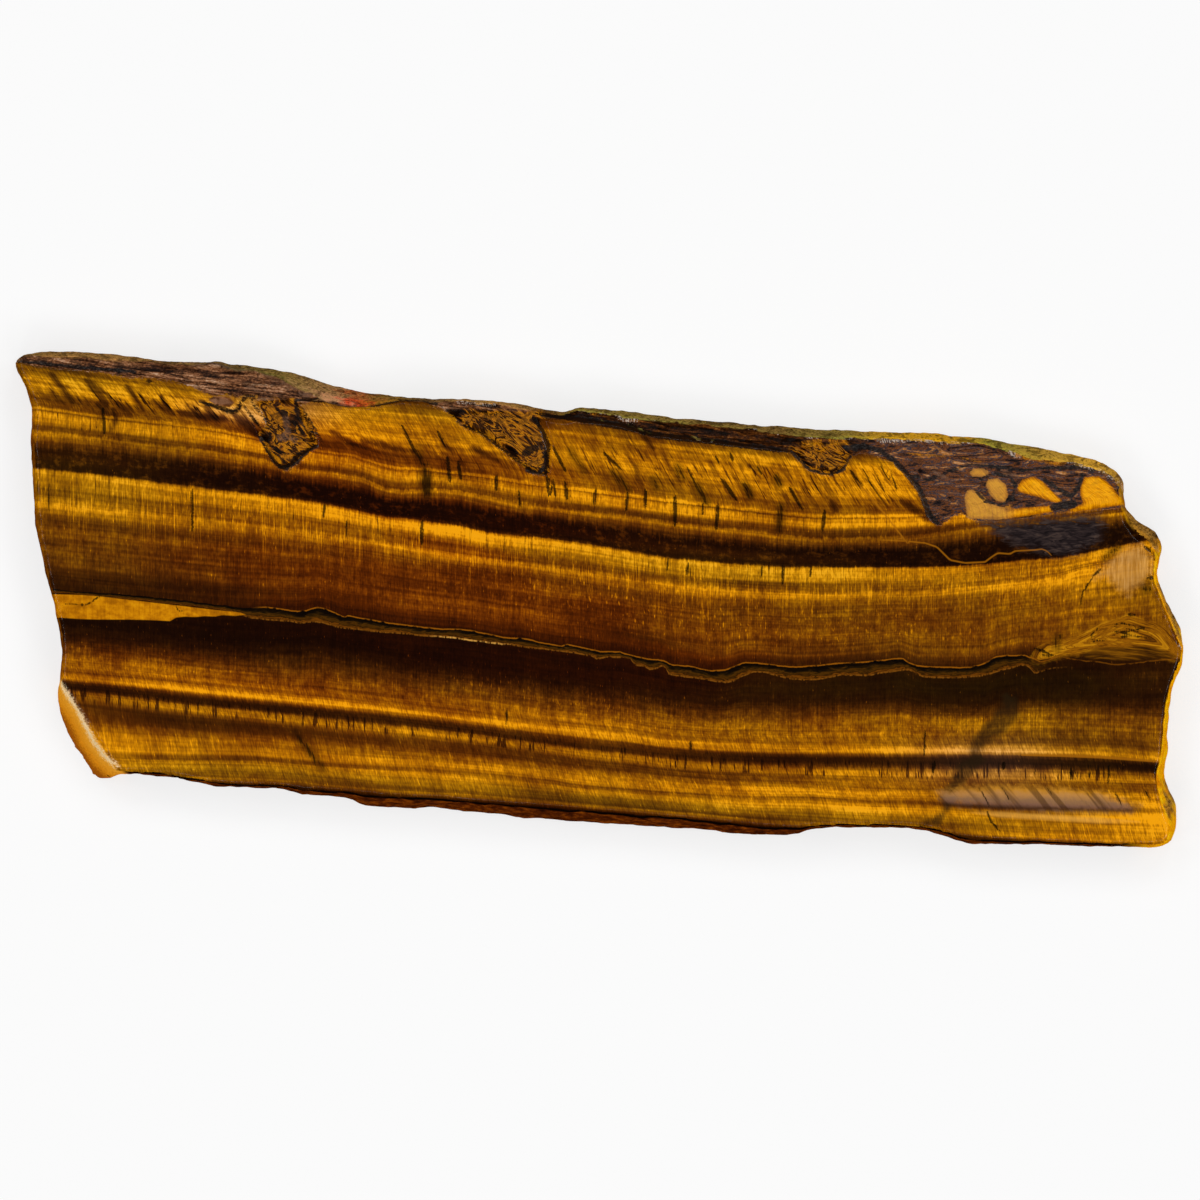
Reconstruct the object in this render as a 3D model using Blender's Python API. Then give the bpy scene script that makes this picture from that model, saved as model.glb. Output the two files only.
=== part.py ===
"""Tiger's eye slab: one piece of banded stone, sawn flat on its back and polished on its face.

It lies on its sawn back with the polished face up and its long side along X. Its outline is laid out
in millimetres on a drawing sheet, with the sheet's corner at the lower left, and is turned from there
so that the long side is level. Everything Blender gets is in metres.
"""

import math

import bmesh
import bpy
from mathutils import Matrix, Vector, noise

MM = 0.001

THICKNESS = 12.0
SHEET_CENTRE = (118.85, 48.03)  # the point of the sheet that lands on the origin
LEAN_DEG = 5.0  # how far the long side slopes down to the right on the sheet

STEP_ALONG_EDGE = 1.9  # distance between neighbouring points of a section
BACK_EDGE_ROUND = 0.4  # the sawn back edge is this much smaller than the widest section
BACK_EDGE_HEIGHT = 0.9
CRUST_SLOPE = 0.32  # how fast the rough shoulder falls from the polished face to the rim
CRUST_DROP_LIMIT = 1.3
CRUST_LUMP = 0.8
WALL_LUMP = 0.35  # how deep the dents of the broken sides go
CRUST_WALL_LUMP = 0.9  # and how much deeper they go below the crust
LEAST_CRUST_DROP = 0.03  # the crust never stands above the polished face

# Each point of the outline: x, y of the widest section, how far the wall leans in from there up to
# the rim, and how wide the shoulder is from the rim to the flat polished face.
LEFT_EDGE = (
    (2.6, 97.6, 0.7, 0.5),
    (4.8, 92.4, 0.8, 0.4),
    (6.2, 87.6, 0.8, 0.4),
    (5.8, 84.0, 0.9, 0.4),
    (6.0, 78.0, 0.9, 0.4),
    (6.4, 71.0, 0.8, 0.4),
    (7.0, 63.6, 0.7, 0.4),
    (8.2, 58.8, 0.6, 0.4),
    (9.2, 54.0, 0.6, 0.4),
    (10.4, 49.2, 0.6, 0.4),
    (11.6, 44.4, 0.5, 0.4),
    (12.0, 40.0, 0.5, 0.4),
    (11.8, 34.8, 0.6, 0.4),
    (11.2, 31.6, 0.9, 0.5),
    (11.6, 27.6, 1.2, 0.5),
    (13.4, 22.8, 1.4, 0.5),
    (15.2, 18.0, 1.4, 0.5),
    (16.6, 15.2, 1.2, 0.5),
)
BOTTOM_EDGE = (
    (18.8, 14.2, 0.8, 0.5),
    (21.4, 14.3, 0.6, 0.4),
    (23.6, 15.2, 0.5, 0.4),
    (32.0, 14.7, 0.5, 0.4),
    (38.0, 13.8, 0.6, 0.4),
    (43.0, 12.8, 0.6, 0.4),
    (50.0, 12.4, 0.5, 0.4),
    (56.4, 12.3, 0.5, 0.4),
    (60.0, 11.1, 0.9, 0.4),
    (69.0, 10.4, 1.1, 0.4),
    (73.5, 8.7, 2.3, 0.4),
    (80.0, 8.4, 2.1, 0.4),
    (87.0, 8.4, 1.9, 0.4),
    (92.0, 7.8, 2.0, 0.4),
    (99.0, 7.1, 2.1, 0.4),
    (108.0, 6.2, 2.3, 0.4),
    (116.0, 5.7, 2.2, 0.4),
    (125.0, 5.0, 2.2, 0.4),
    (134.0, 4.4, 2.1, 0.4),
    (141.0, 4.1, 1.7, 0.4),
    (147.0, 3.3, 1.8, 0.4),
    (158.0, 3.0, 1.3, 0.4),
    (163.0, 4.2, 0.6, 0.4),
    (172.0, 4.5, 0.5, 0.4),
    (182.0, 4.3, 0.5, 0.4),
    (188.0, 3.2, 0.7, 0.4),
    (193.4, 1.4, 0.8, 0.4),
    (200.0, 1.2, 0.7, 0.4),
    (212.0, 0.9, 0.6, 0.4),
    (224.0, 0.6, 0.5, 0.4),
    (232.8, 0.6, 0.6, 0.4),
)
RIGHT_EDGE = (
    (234.6, 1.6, 1.0, 0.5),
    (235.4, 3.8, 1.6, 0.5),
    (235.8, 6.8, 2.5, 0.5),
    (235.2, 9.8, 2.7, 0.5),
    (233.8, 12.6, 2.1, 0.5),
    (233.2, 15.4, 1.6, 0.5),
    (233.8, 18.8, 1.4, 0.5),
    (234.0, 23.0, 1.3, 0.5),
    (234.2, 27.0, 1.0, 0.5),
    (234.6, 31.0, 0.8, 0.5),
    (235.6, 34.4, 0.8, 0.5),
    (236.8, 37.4, 0.8, 0.5),
    (237.2, 40.6, 0.9, 0.5),
    (236.6, 43.6, 1.4, 0.5),
    (235.2, 47.2, 1.5, 0.5),
    (233.2, 51.0, 1.0, 0.5),
    (232.0, 53.4, 0.8, 0.6),
    (231.7, 55.8, 0.8, 0.6),
    (232.5, 58.4, 1.0, 0.8),
    (232.9, 60.8, 2.0, 1.2),
    (231.8, 63.4, 2.6, 1.6),
    (229.4, 64.8, 2.2, 1.4),
    (227.0, 66.8, 1.6, 1.2),
    (225.6, 68.4, 1.0, 0.8),
    (225.0, 71.0, 0.8, 0.8),
    (224.8, 74.0, 1.2, 1.2),
)
CRUST_EDGE = (
    (223.4, 76.0, 1.6, 2.0),
    (221.0, 77.4, 1.4, 2.4),
    (217.0, 78.7, 1.7, 2.2),
    (212.0, 79.6, 1.9, 2.2),
    (207.0, 80.7, 2.5, 2.2),
    (202.0, 81.4, 1.4, 2.4),
    (197.0, 82.4, 1.1, 2.4),
    (190.0, 83.0, 1.4, 2.0),
    (182.0, 83.5, 1.4, 1.6),
    (172.0, 83.8, 1.5, 1.4),
    (164.0, 84.1, 1.5, 1.6),
    (156.0, 84.7, 1.6, 2.2),
    (152.0, 84.9, 0.9, 2.8),
    (146.0, 85.5, 0.5, 3.6),
    (140.0, 86.0, 0.6, 3.2),
    (132.6, 86.8, 0.8, 3.2),
    (127.6, 87.5, 1.4, 2.4),
    (121.0, 88.2, 0.7, 2.6),
    (115.6, 88.6, 0.5, 2.8),
    (113.0, 87.6, 0.5, 2.0),
    (108.0, 88.3, 0.5, 2.0),
    (104.0, 89.2, 0.8, 1.8),
    (98.0, 89.9, 0.6, 2.0),
    (92.0, 90.2, 0.5, 1.6),
    (85.4, 90.4, 0.4, 1.0),
    (80.0, 90.6, 0.5, 0.8),
    (77.0, 91.0, 1.2, 0.8),
    (73.2, 91.5, 2.8, 0.6),
    (69.0, 92.3, 3.1, 0.8),
    (64.0, 93.8, 3.3, 1.2),
    (60.0, 95.0, 2.8, 1.8),
    (57.0, 95.8, 1.7, 2.6),
    (52.0, 96.6, 1.0, 3.2),
    (45.4, 97.3, 0.5, 4.2),
    (43.0, 98.0, 0.6, 4.4),
    (40.0, 97.6, 0.5, 4.0),
    (34.0, 97.8, 0.5, 3.6),
    (30.0, 98.2, 0.6, 2.4),
    (24.0, 99.0, 1.2, 1.4),
    (16.4, 99.7, 1.4, 1.4),
    (10.4, 99.7, 1.3, 1.2),
    (6.8, 99.6, 0.9, 1.0),
    (4.0, 99.0, 0.5, 0.8),
)

# Sections from the back up: height as a share of the way to the rim, and share of the wall's lean.
WALL_SECTIONS = ((0.28, 0.15), (0.54, 0.42), (0.80, 0.75))
SHOULDER_SECTIONS = (0.30, 0.62)

# The lower left corner is ground off flat. The facet meets the face along A to B and passes through C.
FACET_A = (12.2, 33.6, THICKNESS)
FACET_B = (23.4, 16.2, THICKNESS)
FACET_C = (14.6, 21.6, 1.2)

# Pockets of softer breccia that stand below the polish: outline, depth.
POCKETS = {
    "breccia_pocket_left": (
        ((49.5, 89.0), (52.5, 83.0), (56.2, 77.4), (60.6, 78.8), (63.0, 81.4), (61.2, 86.0), (58.6, 89.6)),
        0.9,
    ),
    "breccia_pocket_middle": (
        ((90.2, 87.6), (95.0, 84.6), (101.0, 80.8), (106.4, 76.2), (109.4, 76.0), (110.0, 81.0), (108.0, 87.0)),
        0.8,
    ),
    "breccia_pocket_right": (
        ((158.6, 80.0), (161.6, 77.0), (166.4, 75.5), (169.0, 77.4), (169.4, 80.2)),
        0.6,
    ),
}
POCKET_TAPER = 0.5
POCKET_ROUGHNESS = 0.35
POCKET_FLOOR_STEP = 1.8


def on_bench(x, y, z):
    """A point of the sheet, in millimetres, as it lies in the finished part, in metres."""
    flat = Vector((x - SHEET_CENTRE[0], y - SHEET_CENTRE[1], z)) * MM
    return Matrix.Rotation(math.radians(LEAN_DEG), 3, "Z") @ flat


def between(a, b, share):
    return a + (b - a) * share


def catmull_rom(before, start, end, after, share):
    """One coordinate of a smooth curve through start and end."""
    bend = 2 * before - 5 * start + 4 * end - after
    twist = 3 * start - before - 3 * end + after
    return start + 0.5 * share * (end - before + share * (bend + share * twist))


def edge_points():
    """The outline as evenly spaced (place, lean, shoulder), on a smooth curve through its points."""
    stations = LEFT_EDGE + BOTTOM_EDGE + RIGHT_EDGE + CRUST_EDGE
    count = len(stations)
    fine = []
    for i in range(count):
        four = [stations[(i + k) % count] for k in (-1, 0, 1, 2)]
        length = math.dist(four[1][:2], four[2][:2])
        pieces = max(1, round(length / STEP_ALONG_EDGE))
        for k in range(pieces):
            share = k / pieces
            x, y = (catmull_rom(*(p[axis] for p in four), share) for axis in (0, 1))
            lean, shoulder = (between(four[1][axis], four[2][axis], share) for axis in (2, 3))
            fine.append((Vector((x, y)), lean, shoulder))
    return fine


def inward_directions(points):
    """The way in from the edge at each point, smoothed so that neighbouring sections don't cross."""
    count = len(points)
    reach = 3
    inward = []
    for i in range(count):
        along = points[(i + reach) % count][0] - points[i - reach][0]
        inward.append(Vector((-along.y, along.x)).normalized())
    return inward


def lump(x, y, z, size):
    """A smooth bump pattern between about -1 and 1, with features of the given size."""
    return noise.noise(Vector((x, y, z)) / size)


def crust_height(x, y, share, drop):
    """Height of the shoulder below the face: stepped ledges with lumps, level with the face at share 1."""
    fall = drop * (1 - share) ** 1.4
    ledge = 0.2 * math.sin(6.0 * share + 2.2 * lump(x, y, 1.7, 9.0))
    rough = CRUST_LUMP * (lump(x, y, 4.0, 3.4) + ledge) * min(1.0, drop)
    return max(LEAST_CRUST_DROP, fall + rough * 4 * share * (1 - share))


def sections():
    """Closed rings of points, from the back edge up the wall and over the shoulder to the face."""
    points = edge_points()
    inward = inward_directions(points)

    def ring(place):
        return [place(*point, way) for point, way in zip(points, inward)]

    def back_edge(spot, lean, shoulder, way):
        flat = spot + way * BACK_EDGE_ROUND
        return on_bench(flat.x, flat.y, 0.0)

    def widest(spot, lean, shoulder, way):
        return on_bench(spot.x, spot.y, BACK_EDGE_HEIGHT)

    def drop_at(shoulder):
        return min(CRUST_SLOPE * shoulder, CRUST_DROP_LIMIT)

    def wall(height, share):
        def place(spot, lean, shoulder, way):
            deepest = WALL_LUMP + CRUST_WALL_LUMP * min(1.0, shoulder / 3)
            dent = deepest * (0.5 + lump(spot.x, spot.y, height * THICKNESS, 4.5))
            flat = spot + way * max(0.0, lean * share + dent)
            return on_bench(flat.x, flat.y, between(BACK_EDGE_HEIGHT, THICKNESS - drop_at(shoulder), height))

        return place

    def rim(spot, lean, shoulder, way):
        drop = drop_at(shoulder)
        chip = 0.3 * drop * (1 + lump(spot.x, spot.y, 7.0, 2.8))
        flat = spot + way * (lean + 0.4 * chip)
        return on_bench(flat.x, flat.y, THICKNESS - drop - chip)

    def shoulder_part(share):
        def place(spot, lean, shoulder, way):
            flat = spot + way * (lean + shoulder * share)
            return on_bench(flat.x, flat.y, THICKNESS - crust_height(flat.x, flat.y, share, drop_at(shoulder)))

        return place

    def face_edge(spot, lean, shoulder, way):
        flat = spot + way * (lean + shoulder)
        return on_bench(flat.x, flat.y, THICKNESS)

    rings = [ring(back_edge), ring(widest)]
    rings += [ring(wall(height, share)) for height, share in WALL_SECTIONS]
    rings += [ring(rim)]
    rings += [ring(shoulder_part(share)) for share in SHOULDER_SECTIONS]
    rings += [ring(face_edge)]
    return rings


def loft(rings):
    """A closed mesh through the rings, with a flat cap at each end."""
    bm = bmesh.new()
    loops = [[bm.verts.new(point) for point in ring] for ring in rings]
    for low, high in zip(loops, loops[1:]):
        for i, corner in enumerate(low):
            after = (i + 1) % len(low)
            bm.faces.new((corner, low[after], high[after], high[i]))
    bm.faces.new(reversed(loops[0]))
    bm.faces.new(loops[-1])
    return bm


def grind_corner(bm):
    """Cuts the lower left corner off along a plane and closes the cut."""
    a, b, c = (on_bench(*point) for point in (FACET_A, FACET_B, FACET_C))
    away = (b - a).cross(c - a).normalized()
    if away.z < 0:
        away = -away
    cut = bmesh.ops.bisect_plane(
        bm,
        geom=bm.verts[:] + bm.edges[:] + bm.faces[:],
        dist=1e-6,
        plane_co=a,
        plane_no=away,
        clear_outer=True,
    )
    rim = [part for part in cut["geom_cut"] if isinstance(part, bmesh.types.BMEdge)]
    bmesh.ops.holes_fill(bm, edges=rim)


def new_object(name, bm, collection):
    mesh = bpy.data.meshes.new(name)
    bm.to_mesh(mesh)
    bm.free()
    made = bpy.data.objects.new(name, mesh)
    collection.objects.link(made)
    return made


def pocket_cutter(name, outline, depth, collection):
    """A tapered plug with a rough underside, which leaves a rough pocket in the face."""
    bm = bmesh.new()
    floor = [bm.verts.new((x, y, THICKNESS - depth)) for x, y in outline]
    bm.faces.new(floor)
    bmesh.ops.triangulate(bm, faces=bm.faces[:])
    for _ in range(6):
        long_edges = [edge for edge in bm.edges if edge.calc_length() > POCKET_FLOOR_STEP * 1.6]
        if not long_edges:
            break
        bmesh.ops.subdivide_edges(bm, edges=long_edges, cuts=1)
        bmesh.ops.triangulate(bm, faces=bm.faces[:])
    for vert in bm.verts:
        vert.co.z += POCKET_ROUGHNESS * lump(vert.co.x, vert.co.y, 11.0, 2.6)
    plug = bmesh.ops.extrude_face_region(bm, geom=bm.faces[:])
    middle = sum((vert.co for vert in bm.verts), Vector()) / len(bm.verts)
    for part in plug["geom"]:
        if isinstance(part, bmesh.types.BMVert):
            part.co.z = THICKNESS + 1.0
            part.co.xy += (part.co.xy - middle.xy).normalized() * POCKET_TAPER
    for vert in bm.verts:
        vert.co = on_bench(*vert.co)
    bmesh.ops.recalc_face_normals(bm, faces=bm.faces[:])
    cutter = new_object(name, bm, collection)
    cutter.hide_render = True
    cutter.display_type = "WIRE"
    return cutter


def stone_material():
    material = bpy.data.materials.new("polished_tigers_eye")
    material.use_nodes = True
    shader = material.node_tree.nodes["Principled BSDF"]
    shader.inputs["Base Color"].default_value = (0.42, 0.19, 0.03, 1.0)
    shader.inputs["Roughness"].default_value = 0.18
    shader.inputs["Metallic"].default_value = 0.0
    return material


def make_slab(parts, cutters):
    bm = loft(sections())
    grind_corner(bm)
    bmesh.ops.triangulate(bm, faces=bm.faces[:])
    bmesh.ops.recalc_face_normals(bm, faces=bm.faces[:])
    slab = new_object("tigers_eye_slab", bm, parts)
    slab.data.materials.append(stone_material())
    for name, (outline, depth) in POCKETS.items():
        cut = slab.modifiers.new(name, "BOOLEAN")
        cut.operation = "DIFFERENCE"
        cut.solver = "EXACT"
        cut.object = pocket_cutter(name, outline, depth, cutters)
    return slab


def new_collection(name):
    collection = bpy.data.collections.new(name)
    bpy.context.scene.collection.children.link(collection)
    return collection


def main():
    for old in list(bpy.data.objects):
        bpy.data.objects.remove(old, do_unlink=True)
    make_slab(new_collection("tigers_eye_slab"), new_collection("cutters"))


main()
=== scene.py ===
import math

import bpy
import numpy as np
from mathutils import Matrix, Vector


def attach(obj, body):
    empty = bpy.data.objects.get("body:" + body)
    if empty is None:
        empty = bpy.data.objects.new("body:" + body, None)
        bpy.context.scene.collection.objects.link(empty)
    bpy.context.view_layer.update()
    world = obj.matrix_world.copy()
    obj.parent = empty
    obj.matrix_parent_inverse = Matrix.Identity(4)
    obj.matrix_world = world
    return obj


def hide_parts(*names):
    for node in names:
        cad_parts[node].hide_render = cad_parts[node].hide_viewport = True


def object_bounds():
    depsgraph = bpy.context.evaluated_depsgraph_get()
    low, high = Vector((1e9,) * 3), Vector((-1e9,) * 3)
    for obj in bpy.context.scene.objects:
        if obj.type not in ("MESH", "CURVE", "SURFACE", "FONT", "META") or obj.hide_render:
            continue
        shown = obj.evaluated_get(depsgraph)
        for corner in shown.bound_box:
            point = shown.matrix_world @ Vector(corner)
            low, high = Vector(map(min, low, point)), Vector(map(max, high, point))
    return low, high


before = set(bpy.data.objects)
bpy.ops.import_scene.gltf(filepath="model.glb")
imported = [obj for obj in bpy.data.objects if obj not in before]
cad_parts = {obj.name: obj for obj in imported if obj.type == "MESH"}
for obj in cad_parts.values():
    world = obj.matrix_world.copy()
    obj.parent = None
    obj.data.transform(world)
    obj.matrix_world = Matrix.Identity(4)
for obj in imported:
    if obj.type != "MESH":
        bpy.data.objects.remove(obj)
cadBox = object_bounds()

print("frame loaded")

# sheet millimetres: the drawing the slab was laid out on, its long side falling 5 degrees to the right
sheet = {
    "lean": 5,
    "middle": (118.85, 48.03),
    "thickness": 12,
}

# sizes in metres; heights, with how softly they begin, in millimetres over the back
stone = {
    "weld": .000002,
    "voxel": .00056,
    "sawnFacing": -.99,
    "sawnBelow": .0002,
    "sawnShare": .12,
    "smoothUnder": 35,
    "crustRough": .00075,
    "crustGrain": .0014,
    "crustDentsFrom": (11, .8),
    "wallRough": .0007,
    "wallGrain": .0035,
    "wallDentsBelow": (11.2, .6),
    "polish": .12,
    "dull": .34,
    "polishShine": .5,
    "dullShine": .03,
    "bumps": .3,
    "refraction": 1.54,
}

# where each row of the flat layout starts, and how far it runs across
rows = {
    "face": .635,
    "back": .26,
    "farSide": .19,
    "nearSide": .11,
    "ends": .02,
    "wide": .36,
    "endLong": .4,
    "thin": .05,
}

# the layers, crust at the top: depth in the stone, then the line each one follows across the sheet
layers = {
    "crustFoot": (0, [(0, 100.6), (2.6, 99.6), (20, 96.4), (40, 93.4), (60, 91.2), (80, 90.2),
        (120, 85.8), (140, 83), (160, 80.6), (180, 79.4), (200, 77.8), (240, 73.2)]),
    "goldLine": (14, [(0, 89.4), (8, 88.6), (20, 86.9), (32, 85.7), (44, 84.1), (50, 82.8), (60, 81),
        (64.4, 79.9), (71, 79.1), (72.4, 78.4), (76, 77.3), (80, 76.5), (84, 76.4), (98, 74.8),
        (104, 73.8), (122, 71.5), (134, 70), (158, 67.3), (164, 66.9), (176, 66.9), (186, 67.2),
        (200, 68), (212, 68.8), (224, 70.4), (240, 72.6)]),
    "goldEcho": (18.5, [(0, 84), (8, 83.3), (20, 82.2), (32, 80.6), (44, 79.2), (52, 77.8), (57, 76.6),
        (62, 75.3), (66, 75.1), (72.4, 74.1), (77, 72.1), (80, 71.6), (88, 71.9), (92, 71.5), (98, 70.3),
        (104, 69), (122, 66.8), (134, 65.2), (158, 62.5), (164, 62), (182, 62.4), (190, 63.4),
        (200, 64.8), (224, 67.4), (240, 69.2)]),
    "brightTop": (25.4, [(0, 77.2), (20, 75.1), (32, 73.5), (44, 72), (60, 70.1), (68, 68.7), (76, 66.9),
        (84, 65.9), (92, 64.8), (98, 63.4), (104, 62.8), (110, 62.3), (122, 60.5), (134, 58.4),
        (146, 57.3), (158, 56.6), (188, 56.6), (194, 56.9), (200, 57.5), (206, 58.1), (212, 58.4),
        (218, 59.6), (224, 60.9), (240, 64)]),
    "threadLine": (30.9, [(0, 69.8), (20, 67.8), (44, 65.4), (52, 64.6), (68, 62.2), (76, 61.1),
        (84, 59.7), (92, 58.5), (104, 57), (116, 55.3), (128, 53.4), (140, 52.1), (152, 51.3),
        (164, 50.8), (182, 51.1), (188, 51.5), (194, 52.1), (206, 53.2), (212, 54.2), (216, 55.4),
        (240, 58.8)]),
    "seam": (45.5, [(0, 52.4), (14, 50.9), (26, 49.7), (38, 48.3), (44, 47.7), (50, 47.5), (60, 47.6),
        (62.4, 48.3), (64.4, 48.2), (66.6, 47.5), (69, 46.6), (72, 46.4), (77, 45.5), (84, 44.7),
        (92, 44.1), (96, 43.6), (100.6, 42.6), (104, 42.4), (108, 41.5), (112.2, 40.8), (116, 40.6),
        (120, 39.8), (124, 39.5), (129.4, 38.3), (132, 37.9), (134.2, 37), (138, 36.7), (142, 35.9),
        (145, 36), (147, 36.7), (148.8, 37.3), (153, 37.2), (159, 36.7), (164, 36.9), (172, 37.5),
        (176, 37.8), (180, 38.3), (181.6, 37.6), (183.2, 36.9), (188, 36.5), (197, 36.5), (199, 37.6),
        (204, 38.9), (228, 39.1), (240, 40.2)]),
    "lowerLine": (63, [(0, 36), (14, 34.3), (26, 33.2), (38, 31.9), (50, 30.6), (60, 29.6), (72, 28.4),
        (84, 27.1), (96, 25.6), (108, 24), (120, 22.7), (126, 22.1), (132, 21.2), (138, 20.8),
        (144, 20.4), (156, 20), (192, 19.8), (214, 19.5), (224, 18.9), (232, 18.1), (240, 17.4)]),
    "ladder": (67.3, [(0, 32.4), (16, 30.5), (26, 29.2), (38, 27.7), (50, 26.5), (60, 25.5), (66, 24.8),
        (72, 24.1), (84, 23.1), (90, 22.3), (96, 21.7), (102, 20.8), (114, 19.1), (120, 18.4),
        (126, 17.9), (132, 17), (138, 16.4), (144, 15.9), (156, 15.4), (168, 15), (180, 14.7),
        (200, 14.7), (212, 14.4), (240, 13.4)]),
    "brownLine": (73.7, [(0, 20.2), (14, 19.2), (26, 18.5), (38, 18.3), (50, 18.2), (56, 17.8),
        (60, 17.4), (66, 16.9), (72, 16.5), (78, 16.1), (84, 15.9), (90, 15.4), (102, 14.4), (111, 13.5),
        (114, 12.9), (120, 12.3), (132, 11.4), (144, 10.7), (150, 10.4), (162, 10.3), (168, 9.9),
        (174, 9.5), (186, 9.3), (192, 8.8), (200, 8.5), (212, 8.2), (224, 7.9), (240, 7.5)]),
    "baseLine": (78.4, [(0, 14.4), (40, 14.2), (60, 13.4), (64, 12.8), (80.4, 11.4), (92.6, 10.8),
        (140.4, 6.8), (152.6, 5.6), (166, 4.8), (180, 4.4), (206, 2.8), (240, 1.4)]),
}
# how brightly each depth glows: the bands' own colour with the chatoyant sheen painted in
glow = [
    (-6, .3), (0, .32), (1.4, .44), (2.8, .48), (3.4, .62), (6.6, .69), (8.2, .68), (10.6, .5),
    (12.4, .44), (13.5, .5), (13.8, .6), (14, .86), (14.3, .82), (14.5, .5), (14.9, .8), (15.4, .86),
    (16.2, .78), (17.3, .4), (17.9, .4), (18.3, .62), (18.7, .64), (19.2, .46), (21.5, .06), (24.6, .06),
    (25.2, .16), (25.6, .7), (26, .9), (27, .86), (28.2, .72), (28.7, .52), (29.3, .46), (30.1, .52),
    (30.7, .73), (31.1, .7), (31.8, .5), (32.8, .38), (34, .35), (35.2, .39), (36.4, .36), (41, .37),
    (43, .32), (44.2, .2), (45.4, .14), (47.6, .07), (51.4, .06), (53.4, .11), (55.4, .24), (57.8, .42),
    (60, .54), (61.5, .53), (62.3, .8), (62.9, .86), (63.3, .7), (63.8, .34), (64.3, .17), (65.1, .15),
    (65.6, .24), (66.1, .54), (66.5, .64), (67.2, .68), (68.1, .35), (68.8, .3), (69.6, .31), (70.9, .6),
    (72.3, .72), (73, .68), (73.4, .46), (73.8, .5), (74.2, .66), (74.8, .72), (75.6, .6), (76.6, .52),
    (77.2, .4), (77.7, .38), (78.1, .48), (78.5, .42), (79.3, .12), (81.5, .14), (90, .14),
]
# how far each depth is pulled about by single fibres
fray = [
    (-6, .3), (13, .3), (14, .08), (17, .3), (19, .45), (21, 1), (24.4, .6), (25.2, .12), (27.6, .25),
    (28.4, .4), (30, .35), (32, .6), (36, .9), (40, .5), (44, .15), (45, .06), (47, .08), (48, .5),
    (56, 1.4), (60, .8), (61.8, .06), (63.3, .06), (64, .3), (65.2, .3), (66, .16), (67.4, .16),
    (69, .3), (72, .2), (73, .06), (79, .05), (90, .1),
]
# how far the fibres lean to the side at each depth
fibreLean = [
    (-10, -12), (0, -7.4), (12.6, -.3), (14.4, 0), (60, 0), (80, 6), (90, 8),
]

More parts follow.
